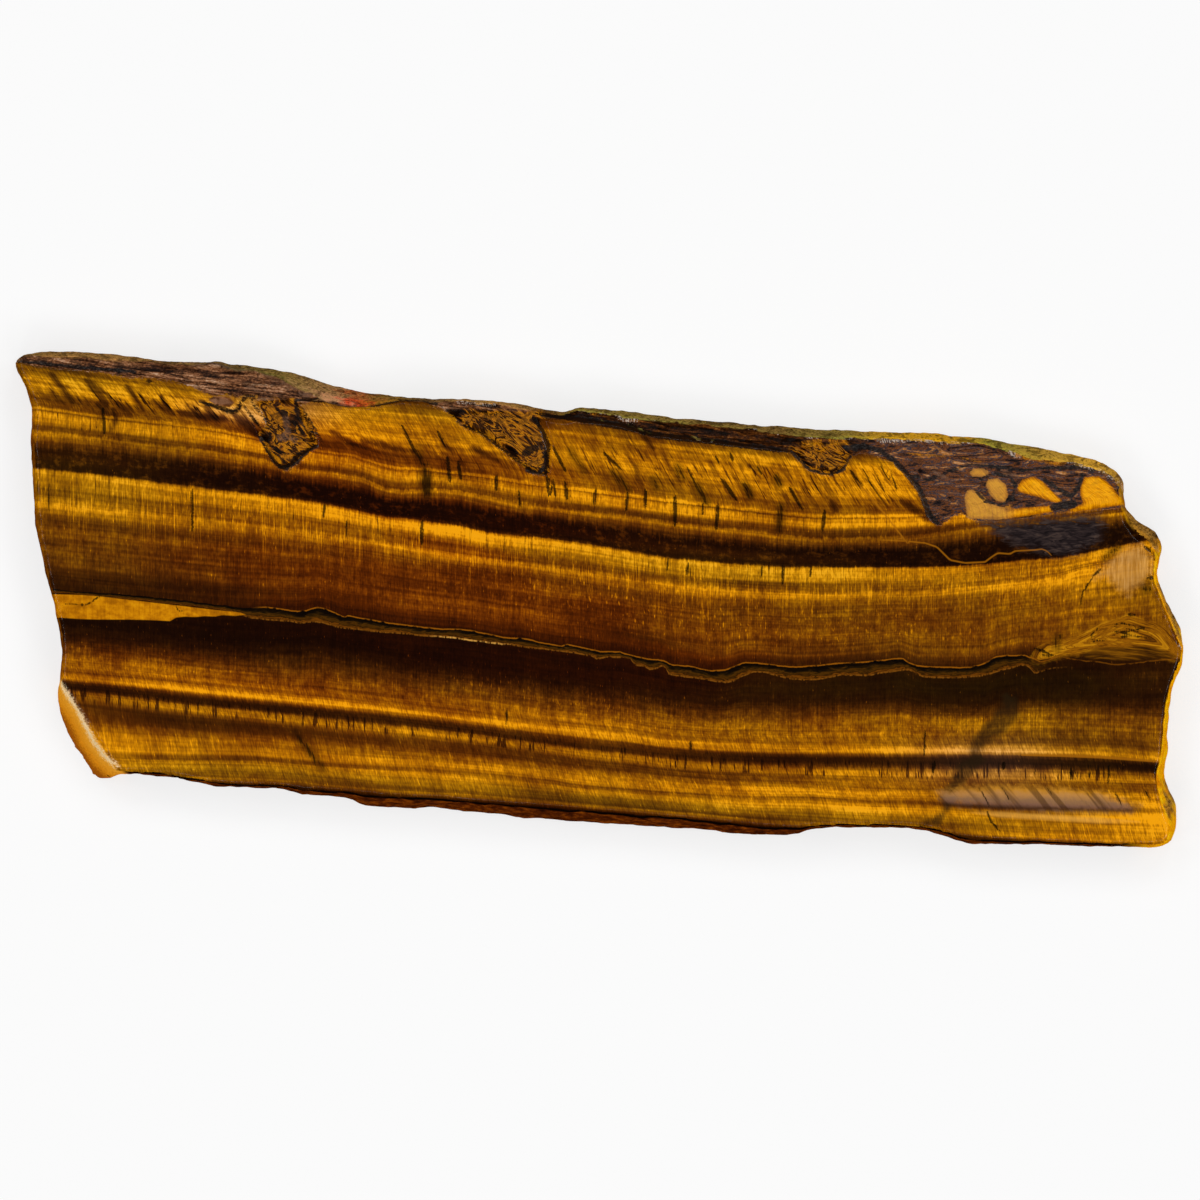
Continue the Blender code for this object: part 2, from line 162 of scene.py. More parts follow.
# soft patches over the layers: x, half length, depth, half depth, strength
washes = {
    "lift": [(12, 26, 27.4, 1.8, -.22), (12, 20, 22.5, 3, .12), (20, 40, 29.4, 1.4, .05),
        (28, 30, 7.6, 2.2, .16), (10, 40, 42.6, 1.8, -.12), (14, 18, 62.8, 1.4, -.08),
        (150, 26, 38.5, 3.4, .06), (180, 22, 37.6, 4, .06), (60, 22, 6, 2.2, .12),
        (70, 22, 11.6, 1.2, -.18), (86, 24, 26.4, 1, .12), (84, 14, 28.8, 1, -.1), (150, 50, 50, 3, .06),
        (140, 30, 23.6, 1.6, .1), (125, 20, 27, 1.8, -.08), (196, 18, 27, 1.6, -.16),
        (212, 22, 30.4, 3.2, .2), (224, 18, 36, 5, .18), (14, 16, 10.6, 2, -.16),
        (125, 14, 41.4, 2.4, -.14), (40, 12, 41.8, 1.6, -.12), (186, 60, 57.6, 3.4, .17),
        (232, 20, 62, 4, -.14), (110, 22, 61, 2.6, .08), (176, 26, 69.2, 1.4, .26),
        (215, 24, 69.4, 1.8, .24), (120, 22, 64.4, .8, .1), (46, 12, 76, 2.2, -.07),
        (118, 18, 76.6, 1.8, -.12), (228, 18, 76, 2, .32), (170, 40, 72, 1.6, .1),
        (186, 8, 17.6, 1.6, -.12), (216, 18, 9.4, 3.6, .12), (60, 60, 1, 1.2, .04),
        (196, 10, 3.8, 3, -.1), (56, 12, 13.8, 1.6, -.14), (172, 14, 4.2, 2, .06),
        (194, 9, 71, 2.6, -.26), (40, 40, 35.2, 1, .05), (210, 30, 43, 1.6, .06), (180, 9, 7, 4, .16),
        (182, 9, 14.6, 2, .14), (70, 12, 8.6, 1.6, .1), (240, 14, 74.5, 3.4, .2),
        (150, 30, 26.6, 1, -.12), (208, 20, 26.2, 1, -.2), (18, 10, 73.4, 3, .26),
        (190, 30, 15, 2, -.06), (180, 14, 75.4, 1.2, .16), (166, 24, 74.9, .8, .16),
        (212, 22, 60.6, 1.8, -.18), (200, 14, 27.5, .9, -.16), (98, 18, 28.9, .8, -.1),
        (12, 8, 2.8, 1.4, -.2), (176, 8, 3.4, 1.6, .2), (72, 9, 10.2, .9, .22), (170, 16, 9.6, 1.4, .14),
        (108, 9, 12.6, 1, .14), (90, 8, 14.9, 1.1, -.22), (152, 18, 14.6, .5, -.16),
        (200, 12, 14.8, 1, .12), (130, 60, 3.2, .5, .12), (130, 60, 1.2, .4, -.14),
        (110, 60, 37, .6, -.08), (100, 40, 40.2, .6, .07), (100, 24, 42.4, .4, .08),
        (20, 14, 69, 1.2, .06), (216, 20, 78.4, 1.3, .36), (172, 14, 77.6, .8, .12),
        (200, 14, 73.6, 1, -.22), (149, 9, 4, 3, .14), (149, 10, 10.5, 2.5, .08),
        (169, 9, 17.5, 2.5, -.1), (109, 10, 30.5, 1.8, -.08), (149, 10, 28.5, 1.8, -.09),
        (198, 20, 42, 3, .09), (149, 10, 43, 2.5, .06), (230, 9, 49.5, 2.6, .1), (30, 16, 68.4, 2, -.14),
        (52, 14, 68.4, 1.6, -.08), (50, 10, 77, 1.4, .12), (149, 9, 71.5, 2, .09),
        (149, 9, 76.5, 1.6, .08), (230, 8, 71, 1.8, .08), (8, 8, 4, 4, -.07), (229, 7, 79.5, 1.5, -.1)],
    "olive": [(12, 26, 27, 4, .7), (14, 40, 4, 5, .8), (30, 26, 16, 6, .5), (150, 40, 27, 2.6, .8),
        (160, 30, 1.8, 1.6, .5), (84, 14, 2, 1.6, .6), (180, 50, 50, 3, .8), (18, 16, 38, 8, .3),
        (40, 40, 75.5, 2.4, .9), (140, 60, 76.6, 1.8, .9), (205, 20, 60, 6, .5), (204, 16, 7, 5, 1),
        (80, 50, 38, 7, -.8), (110, 40, 38, 6, -.4), (236, 14, 34, 7, .4), (60, 60, 69.5, 1.6, -.3),
        (85, 34, 22.6, 2.4, -1.6), (104, 44, 48.6, 4.4, -1.6), (104, 44, 44.4, 1.6, -1.2),
        (56, 26, 12, 5, -.8), (90, 30, 12, 3, -.5), (212, 14, 72, 3, .7), (54, 14, 18, 4, -.6),
        (120, 40, 81, 1.8, -1.4), (220, 16, 20, 4, .3), (60, 60, 61.5, 3, -.6), (60, 40, 74, 2, -.4),
        (30, 24, 57, 4, -.5), (92, 12, 29.5, 1.6, -1), (190, 12, 9, 5, -.4), (196, 16, 26, 3, -.4)],
    "grey": [(198, 12, 65, 3.6, .4), (56, 8, 3.5, 3.5, .4), (48, 8, 8.5, 2.5, .3)],
    "flames": [(26, 16, 8.6, 3.6, 1), (48, 16, 8.6, 3, .7), (92, 12, 11, 3, .5), (125, 14, 8, 4.5, .7),
        (150, 14, 8, 4.5, .7), (172, 14, 8, 4.5, .6)],
    "flecks": [(115, 34, 34, 5, .8), (150, 34, 38, 5, 1), (110, 30, 56, 3.5, .9), (185, 20, 39, 5, .6),
        (130, 20, 22, 2, .5)],
}

# the crust, the gold islands in it and the pockets where it reaches down
crustRock = [
    (0, 106), (0, 99.6), (4, 97.4), (12, 96.2), (20, 95.6), (26, 94.4), (29, 94.6), (32, 94.2),
    (35, 93.8), (38, 92.8), (41, 91.4), (42.8, 90.8), (45.6, 91.2), (47.2, 90.4), (48.4, 90.8), (50, 91),
    (51.6, 90.8), (51.2, 89.2), (52.4, 87.6), (53.2, 85.2), (51.6, 83.2), (52.4, 81.8), (53.6, 79.6),
    (55.2, 77), (57.2, 75.8), (59.4, 77.4), (61.8, 79.8), (63.6, 80.8), (63, 83.6), (61.2, 86.8),
    (60.2, 89.2), (63.6, 89.8), (69, 88.6), (75, 88.6), (80, 90), (85, 89.6), (88, 88.4), (90.6, 86.8),
    (92.6, 84.4), (95, 83.8), (97.4, 83), (99.4, 81), (102, 78.6), (104, 77), (106, 75.4), (108, 74.8),
    (109.8, 75.2), (110, 77.6), (109.4, 80.2), (108.6, 82), (108, 84.4), (108.2, 86.2), (112, 86),
    (118, 85.8), (124, 84.8), (130, 83), (136, 82.4), (144, 81.4), (152, 80.4), (158, 79.6), (159.4, 79),
    (160.6, 77.4), (162, 76), (164, 75.2), (166, 75), (168, 75.4), (169.4, 77), (170.2, 78.8),
    (172, 79.6), (176, 78.6), (178.6, 77.6), (180.6, 75.6), (183, 73.2), (184.4, 70.6), (185.4, 68),
    (186, 65.8), (188, 64.8), (190, 66.4), (192.4, 67.4), (195, 65.8), (200, 65.8), (210, 67.2),
    (217, 68), (224.8, 68.4), (229, 74), (229, 106),
]
goldIslands = [
    [(193.8, 75.6), (194.8, 76.4), (196.8, 76.4), (198.4, 75.4), (196.8, 74.6), (194.4, 74.6)],
    [(197, 73.2), (197.6, 74.2), (199.6, 74.4), (201.2, 73.2), (201.8, 71), (201, 69.4), (199.2, 69.8),
    (197.8, 71.2)], [(192.8, 70.6), (193.4, 72), (194.6, 72.2), (196.2, 71.4), (198.2, 69.4),
    (200.6, 68.6), (202.4, 69.4), (202.8, 68.6), (201.2, 68.2), (210.4, 69), (210.8, 67.6), (206, 66.8),
    (200, 66), (193.4, 66.2)], [(203.4, 72.6), (204.4, 74.2), (206.6, 74.8), (208.4, 74), (210, 72.4),
    (211.6, 70.8), (213, 69.4), (211, 69.4), (208, 70.4), (203.6, 71.6)], [(216, 73.2), (216.8, 74.6),
    (220, 75), (222, 73.4), (223.6, 71.4), (224.6, 70.2), (225, 69), (217, 67.8), (212.8, 67.2),
    (213.6, 68), (216.6, 69.4), (216, 71)], [(160, 82), (164.4, 82.4), (164.6, 80.6), (161.2, 80.4)],
    [(165.6, 82.4), (170, 82), (169.6, 81), (165.8, 80.6)],
]
pocketOutlines = [
    [(49.5, 89), (52.5, 83), (56.2, 77.4), (60.6, 78.8), (63, 81.4), (61.2, 86), (58.6, 89.6)],
    [(90.2, 87.6), (95, 84.6), (101, 80.8), (106.4, 76.2), (109.4, 76), (110, 81), (108, 87)],
    [(158.6, 80), (161.6, 77), (166.4, 75.5), (169, 77.4), (169.4, 80.2)],
]
# blue-grey threads in the crust: half width, then the way they run
slateThreads = [
    (.55, [(0, 98.4), (12, 97), (20, 96.2), (27, 95.6)]), (.4, [(39.8, 89.8), (42.8, 88.6), (45.6, 87.6),
    (47.8, 88.2), (48.6, 90.4), (50.4, 90.8)]), (.5, [(52, 82.6), (53.6, 79.8), (55.2, 77.2), (57.2, 76),
    (59.4, 77.6), (61.8, 80), (63.6, 80.8)]), (.4, [(59.4, 90), (63.6, 90.2), (69, 89), (75, 89),
    (80, 90.4), (86, 90), (89.4, 88)]), (.45, [(108.2, 86.8), (112, 86.6), (118, 86.4), (124, 85.4),
    (130, 83.6), (136, 83), (144, 82), (152, 80.8), (158, 80), (159.6, 78.4), (161.6, 76.4), (164, 75.4),
    (166.4, 75.2), (168.6, 76), (169.8, 78.4), (172, 80.6)]), (.7, [(169.2, 80.4), (172.4, 81),
    (176, 79.8), (179, 77.8), (181, 75.6), (183.4, 72.8), (184.8, 70), (185.8, 67), (187.4, 65.4)]), (.5,
    [(181, 75), (186, 74), (190, 75.8), (193, 77), (200, 76.6), (204.4, 75.8), (209, 76.6), (216, 76.6),
    (221, 76), (224, 73.6), (224.8, 70.6)]), (.6, [(209, 74), (212, 72), (214.4, 70.8), (216, 73),
    (216.4, 75.2)]), (.45, [(196, 74.2), (198.4, 75.2), (202, 74.8), (203.2, 72.8), (202.4, 70),
    (200, 69), (197, 69.8), (195, 72)]), (.9, [(210.6, 68.4), (212.4, 69), (214.8, 69.2)]), (.35,
    [(58.8, 90.4), (59.2, 87.6), (60.4, 85.2), (62.4, 83.6)]), (.5, [(105.4, 76), (107.6, 75.2),
    (109.4, 77.6), (108.8, 80.4), (107.2, 80.6)]),
]

# the seam: its upper and its lower line
seamLines = {
    "seamTop": [(0, 52.8), (10, 52.4), (14, 51.8), (20, 51.4), (26, 51), (32, 50.4), (38, 49.8),
        (44, 49), (48, 48.5), (50, 48.4), (52.8, 48.6), (56, 48.2), (59.6, 47.7), (61, 47.8),
        (62.4, 48.3), (63.6, 48.5), (65, 48.2), (66.6, 47.6), (68, 46.9), (68.9, 46.5), (69.7, 46.9),
        (72, 46.4), (77, 45.5), (84, 44.6), (88, 44.2), (92, 44.1), (94, 43.9), (96, 43.5), (98.4, 43),
        (100.6, 42.5), (104, 42.3), (106, 42.1), (108, 41.5), (110, 41.2), (112.2, 40.7), (113.4, 41.1),
        (116, 40.6), (118, 40.1), (120, 39.7), (124, 39.6), (126.3, 38.9), (129.4, 38.2), (132, 38),
        (133.2, 37.7), (134.2, 37), (136, 36.9), (138, 36.8), (140, 36.2), (142, 35.8), (145, 36),
        (147, 36.7), (148.8, 37.5), (150.5, 37.5), (153, 37.2), (156, 36.8), (159, 36.6), (164, 36.9),
        (167, 37.3), (172, 37.5), (176, 37.9), (179.4, 38.3), (180.6, 38.3), (181.6, 37.5),
        (183.2, 36.9), (186, 36.6), (192, 36.5), (194, 36.5), (196, 37), (197.6, 37.6), (199, 38.6),
        (201.4, 38.9), (205, 38.9), (207, 38.2), (208.2, 37.6), (212, 38.6), (216, 37.9), (220, 37.6),
        (223, 37.1), (226, 37.2), (230, 37.8), (236, 38.4), (240, 38.8)],
    "seamFoot": [(0, 52), (14, 51.4), (20, 50.6), (26, 50.2), (32, 49.5), (38, 48.9), (44, 48.1),
        (47, 47.4), (50, 46.5), (54, 46.1), (58, 45.8), (60, 45.4), (63, 45.7), (64.6, 45.5), (66.2, 45),
        (68, 44.5), (72, 44.1), (76, 43.6), (80, 43.4), (84, 42.9), (88, 42.7), (91, 42.4), (94.5, 41.9),
        (97, 41.6), (100.6, 41.2), (102, 41.1), (106, 40.4), (108, 40.3), (112, 39.8), (116, 39.3),
        (118.6, 38.8), (119.2, 38.2), (121, 38.6), (124, 38.6), (126.2, 38.2), (127, 37), (128.8, 36.8),
        (130, 36.1), (131.6, 36.4), (132.4, 37), (133.2, 36.2), (133.8, 35.2), (136, 34.8), (140, 34.3),
        (143, 33.7), (145.4, 33.5), (147, 34), (148.4, 34.8), (150.6, 35.6), (153, 35.6), (156, 34.7),
        (158, 34.3), (160.6, 34), (163.4, 34.1), (165.6, 34.5), (168, 35), (174, 35), (176, 35.4),
        (180, 35.9), (181.8, 36.1), (183, 35.4), (185, 34.5), (187, 34.6), (190, 34.4), (194, 34.6),
        (197, 35), (199, 35.6), (204, 36.9), (205.6, 36.9), (206.4, 36), (207, 35.3), (208.2, 35.7),
        (210, 36.3), (213, 36.6), (216, 36.2), (218, 36.1), (224, 35.9), (228, 36.3), (232, 36.6),
        (240, 37.2)],
}
# closed outlines of the patches that lie over the layers
outlines = {
    "pocketLens": [(41.2, 90.2), (42.8, 90.8), (45.6, 90.8), (47.2, 89.6), (46, 88.4), (43.2, 88.8)],
    # the dark window and the pale one below it are painted sky reflections at the curved right end
    "darkBandSheen": [(195.6, 65.6), (200, 65.8), (210, 66.8), (220, 67.2), (221.2, 64.4), (219.6, 61.4),
        (215.6, 59), (212, 58.6), (208, 59.6), (203, 61), (199, 63)],
    "paleReflection": [(218.4, 54.8), (220, 56.2), (221.4, 57.6), (223.6, 59.4), (225.6, 60.8), (228, 61.2),
        (229.4, 59.6), (230.4, 58), (231.2, 56), (229.4, 54.4), (227.4, 52.4), (225.6, 51),
        (224.4, 51.6), (222.4, 53.6), (220, 54.6)],
    "goldSlab": [(6, 51.2), (12, 51.1), (16, 51), (20, 50.7), (26, 50), (32, 49.3), (38, 48.6), (43, 48),
        (47, 47.6), (49.6, 47.2), (47.2, 46.8), (44.4, 47), (43, 46.7), (41, 46.8), (39, 46.6),
        (37, 46.7), (35.2, 46.5), (34, 45.8), (30, 46), (26, 46.1), (20, 46.1), (16, 46.2), (12, 46.5),
        (6, 46.6)],
    "shade": [(200.6, 32), (200, 29), (197, 25.6), (194.4, 22.4), (193, 18.6), (191, 17.6), (190.2, 14),
        (187.6, 11), (188.4, 8.4), (186.4, 6.8), (183.6, 4.8), (188, 4.8), (190, 7.6), (191.6, 10),
        (192.4, 13), (197, 17), (197, 21), (201, 23), (204, 27), (204, 31)],
    # the violet pane is a painted sky reflection, hatched by the stone's fibres
    "violetReflectionPane": [(187.2, 11.6), (192, 12.6), (200, 13), (212, 12.4), (220, 12), (224, 10), (228, 8.8),
        (226, 7.2), (220, 7.2), (212, 7.4), (200, 8.2), (193, 8.8), (188.4, 9.4)],
    "creamStreak": [(194, 7.6), (200, 7.6), (210, 7), (220, 6.4), (228, 5.6), (220, 5.4), (210, 6),
        (200, 6.6)],
    "swirl": [(206, 37.6), (207.2, 40), (209.2, 41.4), (212.4, 42), (215, 43), (218, 44.4), (220, 45.4),
        (223, 46.4), (225.6, 47.2), (228, 46.4), (231, 45.6), (233, 44.4), (236, 41), (238, 38),
        (234, 38), (228, 39), (220, 39.6), (217, 39.2), (212, 38.4), (208, 37.2)],
    "lens": [(216.4, 39.6), (220, 40.6), (225, 40.6), (229, 41), (232, 40.4), (235, 39), (236.4, 37.8),
        (233, 38.2), (228, 38), (220, 38), (217, 38.6)],
}

# thin dark cuts across the fibres and bright threads: half width, then the way they run
thinLines = {
    "cut": [(.35, [(80.2, 85.2), (83.2, 79.6)]), (.45, [(89.4, 78.8), (90, 73.6)]), (.45, [(91.6, 78),
        (92.2, 74)]), (.3, [(87.4, 84), (89.2, 80.4)]), (.4, [(99.4, 75.2), (99.2, 71.6)]), (.3,
        [(103.8, 72.2), (104, 68.2)]), (.3, [(109.2, 75.2), (109.8, 70.8)]), (.35, [(110.4, 74.4),
        (111.2, 70.4)]), (.45, [(113, 73.8), (113.4, 70)]), (.35, [(110.6, 80.8), (113.2, 75.6)]), (.3,
        [(119.2, 72.4), (118.8, 68.8)]), (.35, [(120.6, 79.6), (124.6, 75.8)]), (.4, [(125.6, 71.8),
        (125.2, 67.8)]), (.4, [(129, 72.2), (129, 68.2)]), (.45, [(135, 71), (135, 64.6)]), (.3,
        [(137.2, 76.8), (139.4, 72.8)]), (.3, [(140.8, 70), (140.4, 67)]), (.45, [(143.6, 69.2),
        (143.2, 63.8)]), (.45, [(144.2, 74.4), (147.4, 69.8)]), (.3, [(151.4, 76.8), (152.4, 75)]), (.45,
        [(157.8, 72.6), (160.6, 67.8)]), (.45, [(165, 68.2), (164.4, 63.4)]), (.3, [(143, 79),
        (144, 77.2)]), (.3, [(146, 79.6), (146.6, 77.6)]), (.4, [(170, 76), (172.6, 72.4)]), (.16,
        [(172.4, 76.4), (176, 70.4)]), (.16, [(174.4, 76.8), (177, 71.6)]), (.16, [(176, 77.6),
        (177.6, 73.6)]), (.2, [(173.6, 74), (177.6, 68.4)]), (.14, [(178, 76), (179.4, 72)]), (.4,
        [(20.6, 88.6), (20.8, 83.2)]), (.25, [(101.4, 28.4), (101.2, 24.8)]), (.3, [(138.2, 21.8),
        (138, 19.8)]), (.25, [(64.8, 69.4), (64.6, 66.2)]), (.25, [(38.4, 72.2), (38.4, 63.4)]), (.2,
        [(9.8, 73.6), (9.8, 67.6)]), (.4, [(84.4, 66), (84.4, 61)]), (.2, [(69.4, 66), (69.2, 62.4)]),
        (.3, [(152.4, 57), (152.2, 54.4)]), (.25, [(137.6, 57.4), (137.4, 55)]), (.25, [(133.6, 58.4),
        (133.4, 55.6)]), (.3, [(156.6, 57.4), (156.4, 53)]), (.2, [(162.2, 56.8), (162, 54.4)]), (.15,
        [(222.6, 45), (224.4, 45.4), (226, 45), (228, 44.8), (229.4, 44.2)]), (.22, [(222.4, 43.6),
        (225, 43.6), (227, 44), (228.4, 44.4), (229.8, 43.8)]), (.12, [(224, 42.6), (226, 42.8),
        (228, 42.6), (229.8, 42.4), (230.6, 43.2)]), (.12, [(217.8, 42.6), (218.6, 43.4), (219.6, 44.4),
        (220.2, 44.4)]), (.14, [(218.4, 41.6), (219.6, 42), (221, 41.8)]), (.3, [(206.8, 40.4),
        (208, 40), (209.2, 39.6), (210, 39), (211, 38.8)]), (.15, [(208.4, 38.6), (210, 38.6)]), (.35,
        [(229.2, 54.4), (231.6, 54.4)]), (.3, [(230.4, 58), (232.2, 58.4)]), (.4, [(225.4, 47.2),
        (227.2, 47)]), (.4, [(228.8, 60.8), (230.2, 59.6)]), (.3, [(218.6, 54.8), (220.4, 56.4)]), (.2,
        [(216, 48.8), (216.6, 51.6), (218.6, 54.6)]), (.22, [(197.4, 7.8), (198.2, 5.6), (200.2, 3.6)]),
        (.16, [(12.8, 49.2), (15, 49.2), (17, 49), (18, 49.4), (19, 50.2), (20.2, 50.8)]), (.14,
        [(35, 49.4), (35.6, 47.8), (36.8, 47.8)]), (.2, [(207.2, 17.2), (206.8, 14.8)]), (.3,
        [(214.2, 16.4), (214.2, 14)]), (.25, [(221.8, 17.2), (221.6, 13.2)]), (.2, [(218, 16),
        (217.8, 14.4)]), (.4, [(187, 18), (186.6, 15.4)]), (.4, [(200.8, 17.6), (200.6, 16)]), (.2,
        [(185, 24), (184.8, 18.6)]), (.16, [(200.4, 12.6), (201.8, 10)]), (.16, [(195.6, 12.8),
        (198, 8.8)]), (.16, [(209.4, 12.6), (210.4, 10.8)]), (.16, [(223, 11.6), (224.4, 8.8)]), (.16,
        [(229, 12), (230, 10)]), (.4, [(231, 16.4), (232.6, 16.2)])],
    "thread": [(.12, [(176, 62), (181, 61.8), (185, 61.4), (187.4, 60.6), (188.6, 59.4), (190, 58),
        (193, 57.4), (197, 57.6), (198.6, 58.8), (199.6, 59.4), (200.8, 59.3), (202, 59.2), (203, 59.8),
        (207, 60), (208.4, 60.2), (209.4, 59.8), (210.4, 58.8)]), (.24, [(204, 19), (212, 18.9),
        (220, 18.6), (228, 18), (233, 17.6)]), (.14, [(171.2, 74), (173.2, 71.6), (176.6, 67.6),
        (181.6, 61.2)])],
}
# broader marks, the same way
marks = {
    "wideCut": [(.7, [(82.8, 80.8), (85, 76.4)]), (1, [(84.8, 77.6), (85.6, 70)]), (.5, [(113.6, 80.4),
        (117.2, 75.4)]), (.55, [(122.2, 76), (126, 71.6)]), (.55, [(130.4, 74.8), (131.6, 72)]), (.5,
        [(135.2, 77.4), (137, 73.8)]), (.7, [(138.8, 73.6), (141.8, 68.8)]), (.7, [(148.6, 73.6),
        (150.6, 70.2)]), (.55, [(155, 75), (156.2, 72.6)]), (.7, [(156.2, 69.2), (155.8, 63.4)]), (.5,
        [(58.6, 24), (64.8, 16)]), (.5, [(212, 43.2), (211.2, 41.6), (211.4, 39.6)]), (.5,
        [(228.2, 52.4), (230.4, 52.2)]), (.5, [(220.6, 57.8), (222, 59.4), (224.4, 60.8)])],
    "goldMark": [(.5, [(95.6, 87.2), (98.4, 86.4), (102, 85)]), (.7, [(103.8, 85), (106.6, 87.8)]), (.8,
        [(106.4, 83), (108.4, 82)]), (.5, [(107.8, 80.8), (108, 77.8), (105.2, 77)]), (.3, [(101, 82.8),
        (102.6, 81.4)]), (.8, [(53.6, 89), (55.2, 86.8), (56.8, 85)]), (.5, [(56, 78.8), (58.8, 78.6)]),
        (.3, [(59.2, 85), (60.2, 81.8)]), (.3, [(60.4, 86.8), (61.8, 83.6)]), (.3, [(52.4, 84.4),
        (54, 83.6)]), (.3, [(46.4, 91.2), (47.4, 89.2)]), (.3, [(52.4, 81.8), (54, 80.8)]), (.25,
        [(56.6, 76.6), (56.8, 75.2)]), (.25, [(58, 76.8), (58.2, 75)]), (.25, [(59.4, 77.6),
        (59.6, 75.4)]), (.3, [(41, 90.8), (42.4, 90.8)]), (.3, [(30, 94.4), (32.6, 92.2)]), (.3,
        [(160, 79.2), (163, 77.6), (166.4, 76.8), (170, 77.6)]), (.24, [(161.2, 80.2), (164.4, 78.8),
        (168.4, 78.8)]), (.4, [(92.4, 86.2), (95.2, 86)]), (.24, [(118, 87.4), (120, 87)]), (.24,
        [(192, 78.4), (197, 77.6)]), (.3, [(181, 79.6), (186, 78.8), (191, 79)]), (.8, [(203, 79.2),
        (208, 78.4), (213.4, 77.4)])],
    "mauveMark": [(.7, [(56.8, 87.8), (57.4, 84.4), (57.6, 81.8)]), (.9, [(55.2, 82.6), (59.6, 82)]),
        (.6, [(41.6, 90.2), (46.6, 89.4)]), (.5, [(49.2, 92.8), (52.4, 91.6)]), (.6, [(52.4, 95.2),
        (57, 93.6), (59.4, 92)]), (.8, [(59.6, 91.4), (62.6, 91.2)]), (.4, [(213.6, 79.6), (217, 77.6)]),
        (.5, [(200, 76), (204, 74.4)]), (.4, [(186, 76), (190, 74)])],
    "crustMark": [(.5, [(52.4, 81.8), (53.6, 79.6), (55, 77.6), (56.4, 76.4), (58.2, 77.4), (59.6, 79),
        (63, 80.8)]), (.5, [(39.6, 89.8), (43, 88.8), (47, 87.4), (48.2, 89.2), (49.2, 90.8),
        (52, 90.4)]), (.5, [(59, 90), (59.4, 88), (60, 86.2)]), (.4, [(52.4, 83.2), (54.8, 82.4)]), (.4,
        [(91, 85.8), (96, 83.4), (100, 80.6), (105.4, 76.6), (108.8, 75)]), (.6, [(107.2, 86.2),
        (108.6, 83.6), (109.6, 80.8), (109.2, 77.6), (109, 75)]), (.9, [(104.4, 79), (107.2, 80.6),
        (107.2, 79.6)]), (.6, [(56, 88), (57.6, 86.8)]), (.5, [(60, 90.4), (66, 89.6)]), (.6,
        [(67.2, 89.8), (72, 89.2), (77, 89.6), (80, 90.2), (86, 90.4), (91, 89.6)]), (.7, [(107.6, 87.4),
        (112, 86.6), (120, 85.4), (127, 84.2), (132, 82.8), (140, 82), (152, 80.4), (158, 79.6)]), (.5,
        [(29.2, 93.8), (30.4, 93.8)]), (.4, [(41, 97.4), (44.4, 97.2)]), (.3, [(60, 89), (62.4, 85.2),
        (64.4, 81.6)]), (.3, [(48.4, 89.2), (52.4, 84)]), (.3, [(50, 90), (53.6, 85.2)])],
    "smudge": [(.9, [(17, 94.4), (19.6, 91.6), (21.6, 88.4)]), (.7, [(10, 95.6), (12.4, 92.4),
        (14.8, 89.2)]), (.6, [(25, 93.2), (27.6, 89.6), (29, 87.6)]), (.5, [(19.4, 89.6), (22, 86.8)]),
        (.6, [(30, 90), (35, 87)]), (.8, [(35, 87.6), (41, 86.8), (45.6, 86)]), (.9, [(46.4, 87.6),
        (50, 84.4), (52.4, 82.4)]), (.6, [(22.4, 88.4), (23.2, 86), (22, 83.6)]), (.5, [(32, 91),
        (34, 87.6)]), (.6, [(128, 83.6), (131, 80)]), (.5, [(166, 70), (167.6, 67.6)]), (.8, [(180, 70),
        (185, 66.8), (188, 65.2)]), (.6, [(72, 82), (79, 80.4), (83, 79.6)]), (.5, [(66, 84),
        (70.4, 81.2), (74.4, 80.4)]), (.6, [(94, 80.8), (100, 77.6)]), (.5, [(88, 82), (91, 79.2)])],
    "sparkle": [(.4, [(114.6, 88.2), (119.6, 87.6), (122.4, 87.2)]), (.7, [(123, 87.2), (127.6, 85.8)]),
        (.4, [(129, 86), (132.8, 86.2), (139.8, 85.4)]), (.3, [(142, 85.2), (146.2, 85.2), (152, 84),
        (156, 83)]), (.4, [(161, 82.6), (164.8, 82.6), (173.6, 82.6), (178, 81.8), (182.4, 82.2),
        (189.8, 81.6), (197, 81.4), (200, 80.8)]), (.7, [(200.6, 80.6), (203.6, 79), (204.4, 78.4)]),
        (.4, [(205.4, 78.2), (209.8, 78), (212.8, 77.6), (216.2, 77.2)]), (.6, [(215.6, 77.2),
        (219.8, 76.4), (222.4, 74.8), (224.4, 73.4), (224.8, 71.6)]), (.4, [(61, 92.4), (64.4, 91.6),
        (67, 90.6)]), (.3, [(68, 90.8), (71.2, 89.4), (80, 90)]), (.3, [(91, 89.6), (100, 89)]), (.5,
        [(230.4, 61), (232, 59.6)]), (.3, [(231.4, 55), (231.6, 52), (232.4, 50.8)]), (.4,
        [(235.6, 41.4), (236.6, 40)])],
}
# the middle of the painted highlight, the glare along the edge of the broken corner
glareLine = [
    (12.4, 33.2), (14.6, 29.6), (16.4, 26.8), (18.6, 22.2), (20.8, 19), (23.6, 16.8),
]

